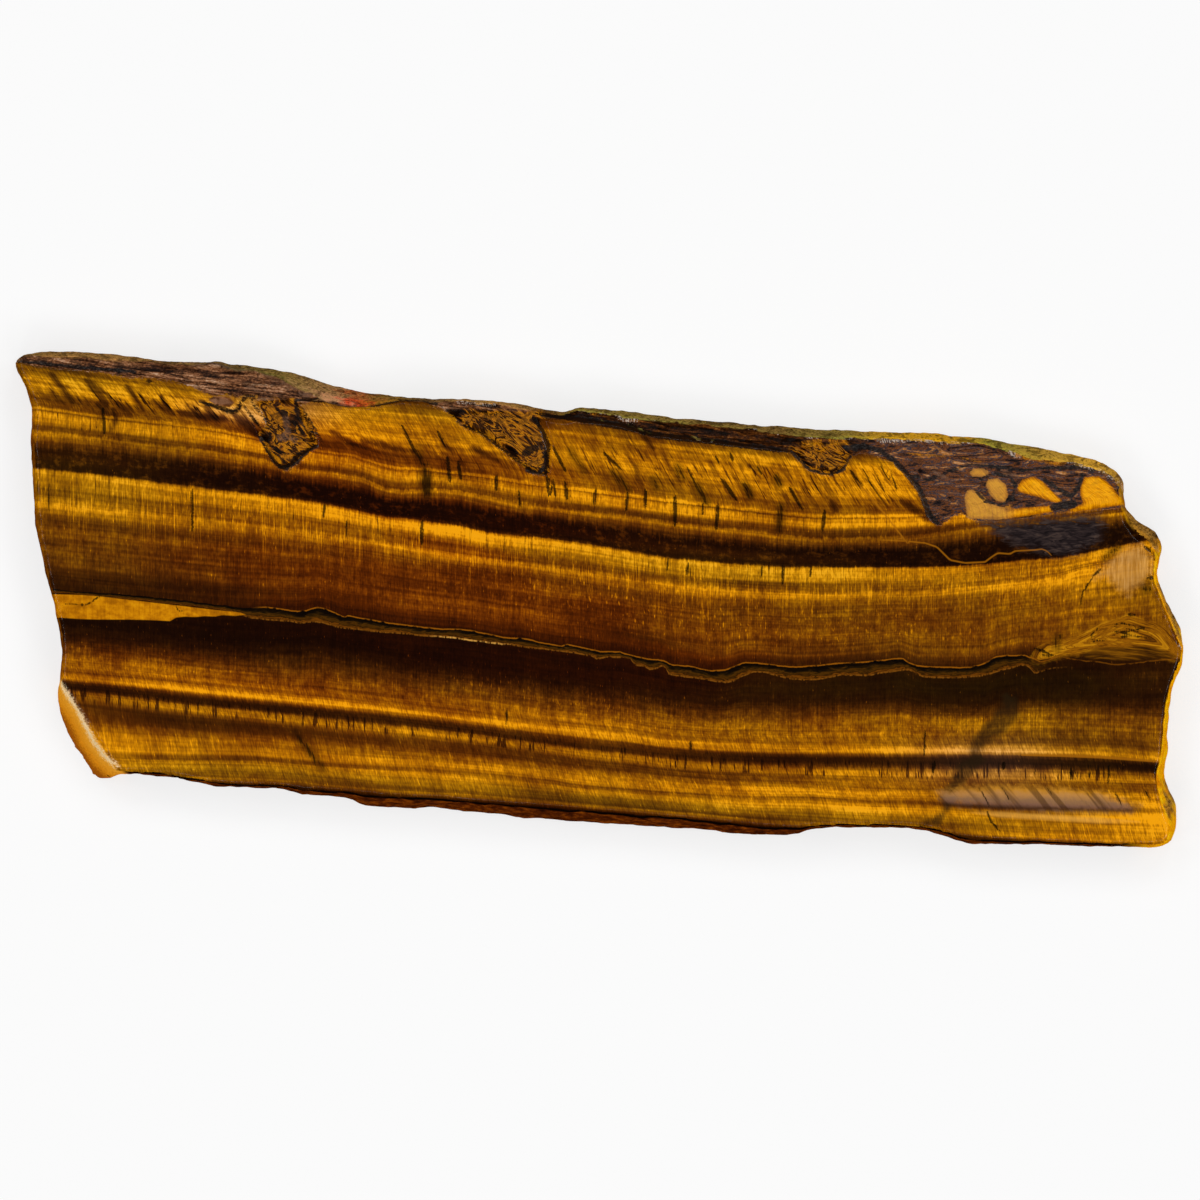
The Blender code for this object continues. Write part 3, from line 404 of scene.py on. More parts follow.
# colours over brightness or over a share of the way across, from 0 to 1
tones = {
    "gold": [(0, "0D0200"), (.055, "170701"), (.157, "2F1502"), (.3, "502904"), (.425, "6E3D05"),
        (.56, "8E5604"), (.7, "AE6D04"), (.83, "CD8305"), (.957, "EB9A0A"), (1, "F5A30D")],
    "oliveGold": [(0, "0D0501"), (.157, "2D1B02"), (.3, "4E3004"), (.425, "6D4606"), (.56, "8D5E05"),
        (.7, "AD7607"), (.83, "CB8E0C"), (.957, "E8A618"), (1, "F0AE20")],
    "redGold": [(0, "0A0100"), (.055, "160501"), (.157, "2F0F01"), (.3, "542101"), (.425, "743503"),
        (.56, "944C02"), (.7, "B46503"), (.83, "D37E04"), (.957, "F09808"), (1, "F8A00A")],
    "greyGold": [(0, "15100E"), (.3, "4A3327"), (.5, "7C5838"), (.7, "AE8048"), (.9, "DCB078"),
        (1, "EAC79A")],
    "violet": [(.2, "0B0809"), (.42, "1D1617"), (.55, "2F2524"), (.68, "443630"), (.85, "6C5442")],
    "cream": [(.2, "6E4212"), (.45, "AE7428"), (.6, "C48C44"), (.8, "DCA964")],
    "reflectedPane": [(0, "C4862A"), (.15, "B88246"), (.35, "8A6648"), (.5, "7C5846"), (.62, "4C3020"),
        (.78, "70503A"), (1, "8A6234")],
    "swirlColour": [(.28, "2A1403"), (.4, "6B3B04"), (.47, "A06207"), (.53, "7A4605"), (.58, "B0720A"),
        (.7, "CE8C10")],
    "lensColour": [(.35, "241103"), (.5, "4A2903"), (.62, "7A4A06")],
    "lode": [(0, "060302"), (.3, "110802"), (.45, "271703"), (.6, "4C2C04"), (.75, "2A1502"),
        (.88, "6E3C06"), (1, "3A1C02")],
    "splinter": [(0, "3A1C02"), (.25, "7A4203"), (.5, "B06A03"), (.62, "C97F05"), (.8, "DE960A")],
    "leftRock": [(.28, "0C0604"), (.4, "2E190F"), (.47, "573520"), (.53, "7C4E30"), (.6, "986A48"),
        (.68, "BC9272"), (.78, "E2C4A6")],
    "swirlRock": [(.28, "060201"), (.39, "1A0A02"), (.445, "4E2806"), (.48, "98580A"), (.51, "B8760C"),
        (.54, "522A05"), (.575, "0E0502"), (.62, "4A2605"), (.65, "B06C0A"), (.7, "2A1204")],
    "bandRock": [(.3, "070301"), (.42, "150903"), (.5, "2E1607"), (.57, "4A260B"), (.64, "6A3C14"),
        (.74, "A06A34")],
    "violetRock": [(.28, "0A0608"), (.37, "241A1A"), (.43, "4E3020"), (.48, "7A441C"), (.51, "44302C"),
        (.55, "2C2C36"), (.59, "6A4E40"), (.65, "A4641E"), (.76, "C49C78")],
    "lens": [(.3, "3A1C0A"), (.5, "6E3F1E"), (.7, "9C6A46")],
    "islandGold": [(0, "2A1404"), (.3, "7A4202"), (.5, "B06802"), (.72, "DC8E04"), (1, "F4A80E")],
    "slateColour": [(.3, "0B0909"), (.5, "1B1817"), (.7, "3C3936")],
    # the right wall's gold brightened as a painted glow of light through the edge, the foot wall darkened
    # as painted shade
    "glowingRightWall": [(.3, "D87E02"), (.45, "FFA804"), (.6, "FFBE08"), (.8, "FFD020")],
    "leftWall": [(.3, "5B2804"), (.5, "A05206"), (.7, "C87810")],
    "shadedFootWall": [(.3, "2A0D02"), (.5, "562204"), (.7, "8E4408")],
    "skin": [(.02, "A0743E"), (.09, "E0A056"), (.18, "58443A"), (.23, "908038"), (.28, "D89868"),
        (.298, "EE5226"), (.318, "A87420"), (.35, "2A1E14"), (.41, "F0AC5C"), (.46, "70441C"),
        (.5, "A08E3C"), (.65, "8C6E34"), (.7, "A6983A"), (.75, "F8B41A"), (.8, "F0AC1A"),
        (.825, "A8A03A"), (.87, "D4A43A"), (.91, "FFC03C"), (.95, "C88A2C")],
    "rind": [(.34, "3A2814"), (.46, "6E5026"), (.56, "967238"), (.66, "B08C48"), (.76, "CCA868")],
    # the facet's gold, turning cream as a painted highlight toward the glare
    "facetWithGlare": [(0, "FFE0AC"), (.1, "FFC468"), (.2, "F8A82C"), (.6, "EA9216"), (.9, "A85A0C")],
}


def toSheet(points):
    turn = math.radians(-sheet["lean"])
    x, y, z = (points * 1000).T
    return (x * math.cos(turn) - y * math.sin(turn) + sheet["middle"][0],
            x * math.sin(turn) + y * math.cos(turn) + sheet["middle"][1], z)


def fromSheet(x, y):
    turn = math.radians(sheet["lean"])
    dx, dy = x - sheet["middle"][0], y - sheet["middle"][1]
    turned = dx * math.cos(turn) - dy * math.sin(turn), dx * math.sin(turn) + dy * math.cos(turn)
    return turned[0] / 1000, turned[1] / 1000


def heightOf(line, x):
    return np.interp(x, *np.array(line, float).T)


def awayFrom(x, y, line):
    # distance to a line of points, in millimetres
    best = np.full(len(x), 1e9)
    for (ax, ay), (bx, by) in zip(line, line[1:]):
        ex, ey = bx - ax, by - ay
        along = np.clip(((x - ax) * ex + (y - ay) * ey) / (ex * ex + ey * ey), 0, 1)
        best = np.minimum(best, np.hypot(x - ax - along * ex, y - ay - along * ey))
    return best


def insideBy(x, y, outline):
    # how far inside a closed outline, in millimetres, and below nothing outside it
    inside = np.zeros(len(x), bool)
    for (ax, ay), (bx, by) in zip(outline, outline[1:] + outline[:1]):
        if ay != by:
            inside ^= ((ay > y) != (by > y)) & (x < ax + (y - ay) * (bx - ax) / (by - ay))
    best = awayFrom(x, y, outline + outline[:1])
    return np.where(inside, best, -best)


def lineFields(x, y, lines):
    # for the nearest of some lines: signed distance across it, half width allowed there, plain distance
    across, reach, near = np.zeros(len(x)), np.full(len(x), -9.0), np.full(len(x), 9.0)
    for half, line in lines:
        lengths = [math.dist(a, b) for a, b in zip(line, line[1:])]
        before = 0.0
        for (ax, ay), (bx, by), length in zip(line, line[1:], lengths):
            ex, ey = (bx - ax) / length, (by - ay) / length
            along = (x - ax) * ex + (y - ay) * ey
            held = np.clip(along, 0, length)
            away = np.hypot(x - ax - held * ex, y - ay - held * ey)
            closer = away < near
            share = (before + held) / sum(lengths)
            allowed = half * (4 * share * (1 - share) + 0.02) ** 0.35 - np.abs(along - held)
            near = np.where(closer, away, near)
            reach = np.where(closer, allowed, reach)
            across = np.where(closer, np.where((x - ax) * ey > (y - ay) * ex, away, -away), across)
            before += length
    return across, reach, near


def layerDepth(x, y):
    names = list(layers)
    nominal = np.array([layers[n][0] for n in names])
    lines = np.array([heightOf(layers[n][1], x) for n in names])
    depth = np.zeros(len(x))
    for i in range(len(names) - 1):
        part = np.clip((lines[i] - y) / (lines[i] - lines[i + 1]), 0, 1)
        depth += part * (nominal[i + 1] - nominal[i])
    depth -= np.maximum(y - lines[0], 0)
    return depth + np.maximum(lines[-1] - y, 0)


def softPatches(x, depth, patches):
    total = np.zeros(len(x))
    for middle, halfLength, level, halfDepth, amount in patches:
        total += amount * np.exp(-((x - middle) / halfLength) ** 2 - ((depth - level) / halfDepth) ** 2)
    return total


def pickFaces(piece, wanted):
    bpy.ops.object.mode_set(mode="OBJECT")
    mesh = piece.data
    mesh.vertices.foreach_set("select", np.zeros(len(mesh.vertices), bool))
    mesh.edges.foreach_set("select", np.zeros(len(mesh.edges), bool))
    mesh.polygons.foreach_set("select", wanted)
    bpy.ops.object.mode_set(mode="EDIT")
    bpy.ops.mesh.select_mode(type="FACE")


def faceFacts(piece):
    count = len(piece.data.polygons)
    normals, centres = np.zeros(count * 3), np.zeros(count * 3)
    piece.data.polygons.foreach_get("normal", normals)
    piece.data.polygons.foreach_get("center", centres)
    return normals.reshape(-1, 3), centres.reshape(-1, 3)


def vertexPoints(mesh):
    points = np.zeros(len(mesh.vertices) * 3)
    mesh.vertices.foreach_get("co", points)
    return points.reshape(-1, 3)


def vertexNumbers(mesh, name, values):
    attribute = mesh.attributes.new(name, "FLOAT", "POINT")
    attribute.data.foreach_set("value", np.asarray(values, np.float32))


def weightGroup(piece, name, weights):
    group = piece.vertex_groups.new(name=name)
    steps = np.round(np.clip(weights, 0, 1) * 20).astype(int)
    for step in range(1, 21):
        group.add(np.nonzero(steps == step)[0].tolist(), step / 20, "REPLACE")


def dent(piece, name, size, depth, group, level, detail=3):
    texture = bpy.data.textures.new(name, "CLOUDS")
    texture.noise_scale = size
    texture.noise_depth = detail
    change = piece.modifiers.new(name, "DISPLACE")
    change.texture = texture
    change.texture_coords = "LOCAL"
    change.mid_level = level
    change.strength = depth
    change.vertex_group = group
    bpy.ops.object.modifier_apply(modifier=name)


def makeStone():
    bpy.ops.object.select_all(action="DESELECT")
    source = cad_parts["tigers_eye_slab"]
    piece = bpy.data.objects.new("polished_slab", source.data.copy())
    bpy.context.collection.objects.link(piece)
    bpy.context.view_layer.objects.active = piece
    piece.select_set(True)
    bpy.ops.object.mode_set(mode="EDIT")
    bpy.ops.mesh.select_all(action="SELECT")
    bpy.ops.mesh.remove_doubles(threshold=stone["weld"])
    bpy.ops.object.mode_set(mode="OBJECT")

    remesh = piece.modifiers.new("fineSkin", "REMESH")
    remesh.mode = "VOXEL"
    remesh.voxel_size = stone["voxel"]
    bpy.ops.object.modifier_apply(modifier="fineSkin")

    normals, centres = faceFacts(piece)
    pickFaces(piece, (normals[:, 2] < stone["sawnFacing"]) & (centres[:, 2] < stone["sawnBelow"]))
    bpy.ops.mesh.decimate(ratio=stone["sawnShare"])
    bpy.ops.object.mode_set(mode="OBJECT")
    print("skin made:", len(piece.data.polygons), "faces")

    mesh = piece.data
    x, y, z = toSheet(vertexPoints(mesh))
    crust = insideBy(x, y, crustRock)
    crustFrom, crustSoft = stone["crustDentsFrom"]
    wallEnd, wallSoft = stone["wallDentsBelow"]
    inCrust = np.clip(crust / crustSoft, 0, 1)
    weightGroup(piece, "crustDents", inCrust * np.clip((z - crustFrom) / crustSoft, 0, 1))
    weightGroup(piece, "wallDents", 1 - np.clip((z - wallEnd) / wallSoft, 0, 1))
    dent(piece, "crustGrain", stone["crustGrain"], stone["crustRough"], "crustDents", 1.0)
    dent(piece, "wallGrain", stone["wallGrain"], stone["wallRough"], "wallDents", 0.15)
    piece.vertex_groups.clear()
    points = np.clip(vertexPoints(mesh), *cadBox)
    mesh.vertices.foreach_set("co", points.ravel())

    depth = layerDepth(x, y)
    vertexNumbers(mesh, "depth", depth)
    vertexNumbers(mesh, "fibre", x - heightOf(fibreLean, depth))
    vertexNumbers(mesh, "fray", heightOf(fray, depth))
    for name, patches in washes.items():
        vertexNumbers(mesh, name, softPatches(x, depth, patches))
    vertexNumbers(mesh, "crust", crust)
    vertexNumbers(mesh, "island", np.max([insideBy(x, y, island) for island in goldIslands], axis=0))
    for name, lines in thinLines.items():
        for part, values in zip(("Across", "Reach", "Near"), lineFields(x, y, lines)):
            vertexNumbers(mesh, name + part, values)
    for name, lines in marks.items():
        reach, near = lineFields(x, y, lines)[1:]
        vertexNumbers(mesh, name, reach - near)
    vertexNumbers(mesh, "glare", awayFrom(x, y, glareLine))
    vertexNumbers(mesh, "pocket", np.max([insideBy(x, y, outline) for outline in pocketOutlines], axis=0))
    for name, line in seamLines.items():
        vertexNumbers(mesh, name, y - heightOf(line, x))
    for name, outline in outlines.items():
        vertexNumbers(mesh, name, insideBy(x, y, outline))
    vertexNumbers(mesh, "slate",
                  np.max([half - awayFrom(x, y, line) for half, line in slateThreads], axis=0))
    print("layers drawn on", len(mesh.vertices), "points")
    return piece


def layOut(piece):
    # one flat layout in rows: the face on top, the sawn back, then the long sides and the two ends
    mesh = piece.data
    normals, centres = faceFacts(piece)
    corners = np.zeros(len(mesh.loops), int)
    mesh.loops.foreach_get("vertex_index", corners)
    sizes = np.zeros(len(mesh.polygons), int)
    mesh.polygons.foreach_get("loop_total", sizes)
    low, high = np.array(cadBox)
    share = (vertexPoints(mesh)[corners] - low) / (high - low) * 0.99 + 0.005
    nx, ny, nz = np.repeat(normals, sizes, axis=0).T
    wall = [ny > np.abs(nx), -ny > np.abs(nx), nx < 0]
    along, across, up = share.T
    u = np.select(wall, [along, along, across * rows["endLong"]], 0.5 + across * rows["endLong"])
    v = np.select(wall, [rows["farSide"], rows["nearSide"], rows["ends"]],
                  rows["ends"]) + up * rows["thin"]
    steep = 0.4
    u = np.where(np.abs(nz) > steep, along, u)
    v = np.where(nz < -steep, rows["back"] + across * rows["wide"], v)
    v = np.where(nz > steep, rows["face"] + across * rows["wide"], v)
    sheetMap = mesh.uv_layers.new(name="OFBake")
    sheetMap.uv.foreach_set("vector", np.stack([u, v], 1).ravel().astype(np.float32))


def toLinear(colour):
    channels = [int(colour[i:i + 2], 16) / 255 for i in (0, 2, 4)]
    return tuple(c / 12.92 if c <= 0.04045 else ((c + 0.055) / 1.055) ** 2.4 for c in channels) + (1,)


tigersEye = bpy.data.materials.new("tigersEye")
tigersEye.use_nodes = True
tree = tigersEye.node_tree
tree.nodes.clear()


def addNode(kind, inputs=None, **settings):
    made = tree.nodes.new("ShaderNode" + kind)
    for name, value in settings.items():
        setattr(made, name, value)
    for key, value in (inputs or {}).items():
        if isinstance(value, bpy.types.NodeSocket):
            tree.links.new(value, made.inputs[key])
        else:
            made.inputs[key].default_value = toLinear(value) if isinstance(value, str) else value
    return made


def number(name):
    return addNode("Attribute", attribute_name=name).outputs["Fac"]


def calc(operation, a, b=0.0, c=0.0, clamp=False):
    return addNode("Math", {0: a, 1: b, 2: c}, operation=operation, use_clamp=clamp).outputs[0]


def times(a, b):
    return calc("MULTIPLY", a, b)


def plus(a, b):
    return calc("ADD", a, b)


def minus(a, b):
    return calc("SUBTRACT", a, b)


def scaled(a, factor, added, clamp=False):
    return calc("MULTIPLY_ADD", a, factor, added, clamp)


def larger(a, b, clamp=False):
    return calc("MAXIMUM", a, b, clamp=clamp)


def dim(value, share, amount):
    return times(value, minus(1.0, times(share, amount)))


def fade(value, start, end):
    return addNode("MapRange", {"Value": value, "From Min": start, "From Max": end},
                   interpolation_type="SMOOTHSTEP").outputs[0]


def window(value, start, end, soft):
    return times(fade(value, start - soft, start + soft), fade(value, end + soft, end - soft))


def vary(value, noise, amount):
    return times(value, scaled(minus(noise, 0.5), amount, 1.0))


def mix(amount, a, b, mode="MIX"):
    return addNode("Mix", {0: amount, 6: a, 7: b}, data_type="RGBA", blend_type=mode).outputs[2]


def ramp(value, name):
    made = addNode("ValToRGB", {0: value})
    band = made.color_ramp
    stops = tones[name]
    while len(band.elements) < len(stops):
        band.elements.new(0.5)
    for element, (place, colour) in zip(band.elements, stops):
        element.position = place
        element.color = toLinear(colour)
    return made.outputs[0]


def grain(where, stretch, detail=2.0, rough=0.5, shift=0.0, distortion=0.0):
    spot = {"Vector": where, "Location": (shift, shift * 1.7, shift * 0.6), "Scale": stretch}
    noise = {"Scale": 1.0, "Detail": detail, "Roughness": rough, "Distortion": distortion}
    return addNode("TexNoise", {"Vector": addNode("Mapping", spot).outputs[0], **noise}).outputs[0]


def drawnCurve(value, points, parts=4):
    low, high = points[0][0], points[-1][0]
    step = (high - low) / parts
    xs, ys = np.array(points, float).T
    result = None
    for i in range(parts):
        start, end = low + i * step, low + (i + 1) * step
        inner = [p for p in points if start < p[0] < end]
        corners = [(start, np.interp(start, xs, ys))] + inner + [(end, np.interp(end, xs, ys))]
        inPart = addNode("MapRange", {"Value": value, "From Min": start, "From Max": end})
        made = addNode("FloatCurve", {"Value": inPart.outputs[0]})
        curve = made.mapping.curves[0]
        while len(curve.points) < len(corners):
            curve.points.new(0.5, 0.5)
        for point, (px, py) in zip(curve.points, corners):
            point.location = ((px - start) / step, py)
            point.handle_type = "VECTOR"
        made.mapping.update()
        if result is None:
            result = made.outputs[0]
        else:
            past = calc("GREATER_THAN", value, start)
            result = addNode("Mix", {0: past, 2: result, 3: made.outputs[0]}).outputs[0]
    return result


def drawnLines(name, wobble, torn=0.0):
    across = calc("ABSOLUTE", plus(number(name + "Across"), wobble))
    inside = plus(minus(number(name + "Reach"), across), torn)
    return times(fade(inside, -0.16, 0.1), fade(number(name + "Near"), 0.52, 0.42))


# where a point is: on the sheet, across the layers and along the fibres
toSheetFrame = {"Vector": addNode("TexCoord").outputs["Object"], "Scale": (1000, 1000, 1000),
                "Location": (*sheet["middle"], 0), "Rotation": (0, 0, math.radians(-sheet["lean"]))}
place = addNode("Mapping", toSheetFrame).outputs[0]
x, y, z = addNode("SeparateXYZ", {0: place}).outputs
side, away, up = addNode("SeparateXYZ", {0: addNode("NewGeometry").outputs["Normal"]}).outputs
depth, fibre = number("depth"), number("fibre")
fibres = addNode("CombineXYZ", {0: fibre, 1: depth, 2: z}).outputs[0]
layered = addNode("CombineXYZ", {0: x, 1: depth, 2: z}).outputs[0]
flat = addNode("CombineXYZ", {0: x, 1: y}).outputs[0]

# fibres, from single hairs to wide columns, and the ragged edges that they give the layers
hairs = grain(fibres, (3.6, 0.22, 0.3), 2, .6)
columns = grain(fibres, (0.7, 0.05, 0.1), 2, .55, 4)
ragged = grain(fibres, (2.2, 0.05, 0.2), 2, .6, 9)
mottles = grain(fibres, (0.55, 0.70, 0.3), 3, .64, 13)
blotches = grain(layered, (0.07, 0.16, 0.1), 2, .5, 30)
sand = grain(fibres, (4.0, 1.1, 1.6), 1, .5, 41)
stripes = grain(layered, (0.022, 1.15, 0.1), 2, .65, 77)
# wisps and rubble, which don't follow the fibres
wisps = grain(flat, (0.35, 1.3, 1), 3, .6, 61, 1.2)
rubble = grain(flat, (0.45, 0.8, 1), 2, .65, 3, 0.8)
fineRubble = grain(place, (1.8, 3.2, 1.8), 3, .7, 7)


def fibreGlow():
    # how brightly each point shines, the bands' colour with painted chatoyant sheen: the depth profile,
    # pulled about and broken up by the fibres
    jag = times(minus(ragged, 0.5), times(number("fray"), 3.0))
    waves = times(minus(mottles, 0.5), scaled(number("fray"), 1.1, .3))
    moved = plus(depth, plus(jag, waves))
    shine = drawnCurve(moved, glow)
    shine = plus(shine, number("lift"))
    for noise, amount in ((hairs, .8), (columns, .5)):
        shine = vary(shine, noise, amount)
    shine = vary(shine, mottles, scaled(number("fray"), .8, .55, clamp=True))
    for noise, amount in ((stripes, 1.0), (blotches, .8), (sand, .65)):
        shine = vary(shine, noise, amount)

    # dark partings and bright threads among the fibres
    inBands = larger(window(depth, 14.6, 17.2, 0.3), window(depth, 25.2, 28.8, 0.4))
    inBands = larger(inBands, times(window(depth, 64.5, 68.4, .4), 0.8))
    partings = times(fade(calc("ABSOLUTE", minus(ragged, .40)), 0.02, 0.0), fade(columns, 0.4, 0.6))
    shine = dim(shine, times(partings, inBands), 0.85)
    threads = times(fade(calc("ABSOLUTE", minus(ragged, .57)), 0.022, 0.0),
                    window(plus(depth, times(columns, -9)), 23.0, 29.5, 3.0))
    shine = scaled(threads, .42, shine)
    rungs = times(fade(grain(layered, (1.5, 0.16, 0.1), 2, .65, 91), .56, .63),
                  window(depth, 64.8, 67.7, .4))
    shine = dim(shine, rungs, .62)
    flames = fade(grain(fibres, (0.55, 0.13, 0.1), 3, .55, 23), 0.50, 0.64)
    slits = fade(grain(fibres, (1.5, 0.22, 0.1), 2, .6, 27), 0.58, 0.66)
    flames = scaled(slits, .8, scaled(flames, .62, -.10))
    shine = dim(shine, flames, number("flames"))
    smudge = fade(scaled(hairs, 1.8, number("smudge")), .4, 1.5)
    shine = dim(shine, smudge, 0.62)
    flecks = fade(grain(fibres, (2.4, 0.7, 0.6), 1, .5, 55), 0.62, 0.78)
    shine = scaled(times(flecks, number("flecks")), 0.32, shine)
    # brown clouds and glints in the black layer
    inBlack = window(depth, 20.0, 25.2, 0.6)
    shine = scaled(times(fade(mottles, .5, .72), inBlack), .14, shine)
    shine = scaled(times(fade(sand, .68, .78), fade(hairs, .5, .6)), .26, shine)
    return shine


def bandColour(shine):
    gold = ramp(shine, "gold")
    oliveGold = ramp(shine, "oliveGold")
    redGold = ramp(shine, "redGold")
    greyGold = ramp(shine, "greyGold")
    tint = plus(number("olive"), times(minus(blotches, .62), 1.2))
    tint = plus(tint, times(minus(mottles, .5), .8))
    colour = mix(larger(tint, 0, clamp=True), gold, oliveGold)
    colour = mix(calc("MULTIPLY", tint, -1, clamp=True), colour, redGold)
    colour = mix(larger(number("grey"), 0, clamp=True), colour, greyGold)
    return colour


def rightReflections(colour):
    # the dark window at the right, the dark band under a painted violet-grey sky reflection, and the pale
    # one below it, a painted reflection of the sky
    violet = ramp(wisps, "violet")
    colour = mix(fade(scaled(wisps, 4.0, number("darkBandSheen")), 0.9, 3.6), colour, violet)
    cream = ramp(vary(.58, hairs, 1.2), "cream")
    paleReflection = fade(scaled(mottles, 4.0, number("paleReflection")), 1.0, 3.6)
    colour = mix(times(paleReflection, .8), colour, cream)
    return colour


def lowerRight(colour):
    # a brown shade with a clean left edge, a violet pane of painted sky reflection hatched by the stone's
    # fibres, a cream streak under it
    shadeMask = fade(scaled(mottles, 2.4, number("shade")), .8, 2.4)
    colour = mix(shadeMask, colour, "A09CAA", "MULTIPLY")
    colour = mix(times(shadeMask, .3), colour, "3A2A14")
    reflectionShare = fade(scaled(mottles, 3.0, number("violetReflectionPane")), 0.6, 3.0)
    down = plus(depth, times(minus(mottles, .5), 1.6))
    reflectedPane = ramp(addNode("MapRange", {"Value": down, "From Min": 70.0, "From Max": 76.0}).outputs[0],
                "reflectedPane")
    slanted = addNode("CombineXYZ", {0: scaled(depth, -.8, x), 1: depth}).outputs[0]
    hatch = fade(grain(slanted, (0.55, 0.05, 1), 2, .5, 141), .48, .62)
    reflectedPane = mix(times(hatch, .66), reflectedPane, "382013")
    colour = mix(times(reflectionShare, .92), colour, reflectedPane)
    colour = mix(times(fade(number("creamStreak"), -0.4, .4), .6), colour, "E2A444")
    return colour


def swirlAndLens(colour):
    # the swirl at the right end of the seam, layered around its outline
    turns = addNode("CombineXYZ", {0: x, 1: number("swirl")}).outputs[0]
    swirled = grain(turns, (0.14, 1.5, 1), 3, .66, 67, .4)
    swirlColour = ramp(swirled, "swirlColour")
    colour = mix(times(fade(scaled(mottles, 2.0, number("swirl")), 0.4, 1.8), .9), colour, swirlColour)
    lensColour = ramp(swirled, "lensColour")
    colour = mix(times(fade(number("lens"), -0.4, 0.6), .85), colour, lensColour)
    return colour


def seamAndSplinter(colour):
    # the seam: black to olive grey between two thin gold lines, and the gold splinter above its left end
    top, foot = number("seamTop"), number("seamFoot")
    wander = times(minus(mottles, .5), .5)
    top, foot = plus(top, wander), plus(foot, wander)
    share = calc("DIVIDE", times(top, -1), larger(minus(foot, top), .2))
    lode = ramp(scaled(minus(wisps, .5), .9, share), "lode")
    inSeam = times(fade(top, 0.06, -0.06), fade(foot, -0.1, 0.1))
    colour = mix(times(inSeam, fade(x, 211, 203)), colour, lode)
    fromLeft = fade(x, 50, 54)
    fromLeft = times(fromLeft, scaled(fade(x, 210, 204), .6, .4))
    topLine = times(fade(calc("ABSOLUTE", top), .2, .04), fade(mottles, .3, .5))
    colour = mix(times(times(topLine, fromLeft), .85), colour, "9C5A0A")
    footLine = times(fade(calc("ABSOLUTE", foot), .24, .04), fade(ragged, .35, .6))
    footGold = mix(window(x, 87, 101, 2), "7A480E", "CC9440")
    colour = mix(times(times(footLine, fade(x, 46, 50)), fade(x, 216, 204)), colour, footGold)
    splinter = ramp(vary(vary(.56, mottles, 1.5), hairs, .5), "splinter")
    colour = mix(fade(number("goldSlab"), -0.12, 0.12), colour, splinter)
    return colour


def crustOver(colour):
    # crust rock: fibrous at the left, swirled in the wedges, its gold islands and slate threads
    streaks = grain(layered, (0.11, 1.3, 0.6), 3, .66, 87, 0.5)
    crust = plus(number("crust"), scaled(fineRubble, 1.2, -0.6))
    mixed = scaled(minus(fineRubble, .5), .45, streaks)
    leftRock = ramp(mixed, "leftRock")
    slanting = addNode("Mapping", {"Vector": flat, "Rotation": (0, 0, math.radians(34))}).outputs[0]
    swirlRock = ramp(grain(slanting, (0.12, 0.38, 1), 3, .62, 131, 1.5), "swirlRock")
    bandRock = ramp(mixed, "bandRock")
    flowing = grain(flat, (0.12, 0.5, 1), 3, .56, 33, 2.2)
    violetRock = ramp(scaled(minus(fineRubble, .5), .34, flowing), "violetRock")
    rock = mix(fade(x, 106.5, 108.5), leftRock, bandRock)
    rock = mix(fade(number("pocket"), -1.6, -0.2), rock, swirlRock)
    rock = mix(fade(x, 168, 176), rock, violetRock)
    darker = scaled(fade(number("pocket"), -1.6, -0.2), -.3, .6)
    darker = scaled(fade(x, 168, 176), -.25, darker)
    rock = mix(times(fade(rubble, .50, .62), darker), rock, "0C0807")
    colour = mix(fade(crust, -0.1, 0.14), colour, rock)
    lens = ramp(rubble, "lens")
    colour = mix(fade(number("pocketLens"), -0.1, 0.3), colour, lens)
    island = plus(number("island"), scaled(fineRubble, 0.5, -0.25))
    islandShine = scaled(fade(island, 0.0, 1.0), .44, .43)
    islandGold = ramp(vary(vary(islandShine, hairs, 1.5), mottles, .9), "islandGold")
    islandGold = mix(times(window(x, 190, 202, 2), .5), islandGold, "A07A44")
    islandGold = mix(times(fade(x, 176, 172), .8), islandGold, swirlRock)
    islandGold = mix(times(fade(rubble, .52, .66), .2), islandGold, "4A2A10")
    colour = mix(fade(island, -0.05, 0.2), colour, islandGold)
    slate = plus(number("slate"), scaled(rubble, 0.9, -0.45))
    slateColour = ramp(fineRubble, "slateColour")
    colour = mix(times(fade(slate, 0.0, 0.3), .9), colour, slateColour)
    fuzz = scaled(fineRubble, 1.1, -0.55)
    glints = times(fade(plus(number("sparkle"), times(fuzz, 1.6)), .0, .3), fade(sand, .42, .56))
    colour = mix(glints, colour, "B9A898")
    cloudy = times(fade(plus(rubble, times(sand, .4)), .86, .56), .8)
    for name, tone, strong in (("goldMark", "BC7410", .85), ("mauveMark", "7E5A44", .6),
                               ("crustMark", "110B08", .92)):
        colour = mix(times(fade(plus(number(name), fuzz), -.12, .2), strong), colour,
                     mix(cloudy, tone, "1E0E05"))
    return colour, rock


def cutsAndThreads(colour):
    wobble = scaled(wisps, 0.5, -0.25)
    torn = scaled(hairs, 2.6, -1.35)
    wide = fade(plus(number("wideCut"), torn), -.2, .4)
    halo = times(fade(plus(number("wideCut"), torn), -1.1, .1), .5)
    cuts = larger(larger(wide, halo),
                  times(drawnLines("cut", wobble, scaled(hairs, 1.0, -.55)), fade(sand, .20, .40)))
    colour = mix(times(cuts, .9), colour, "0A0501")
    colour = mix(times(drawnLines("thread", 0.0), .7), colour, "A8660C")
    return colour


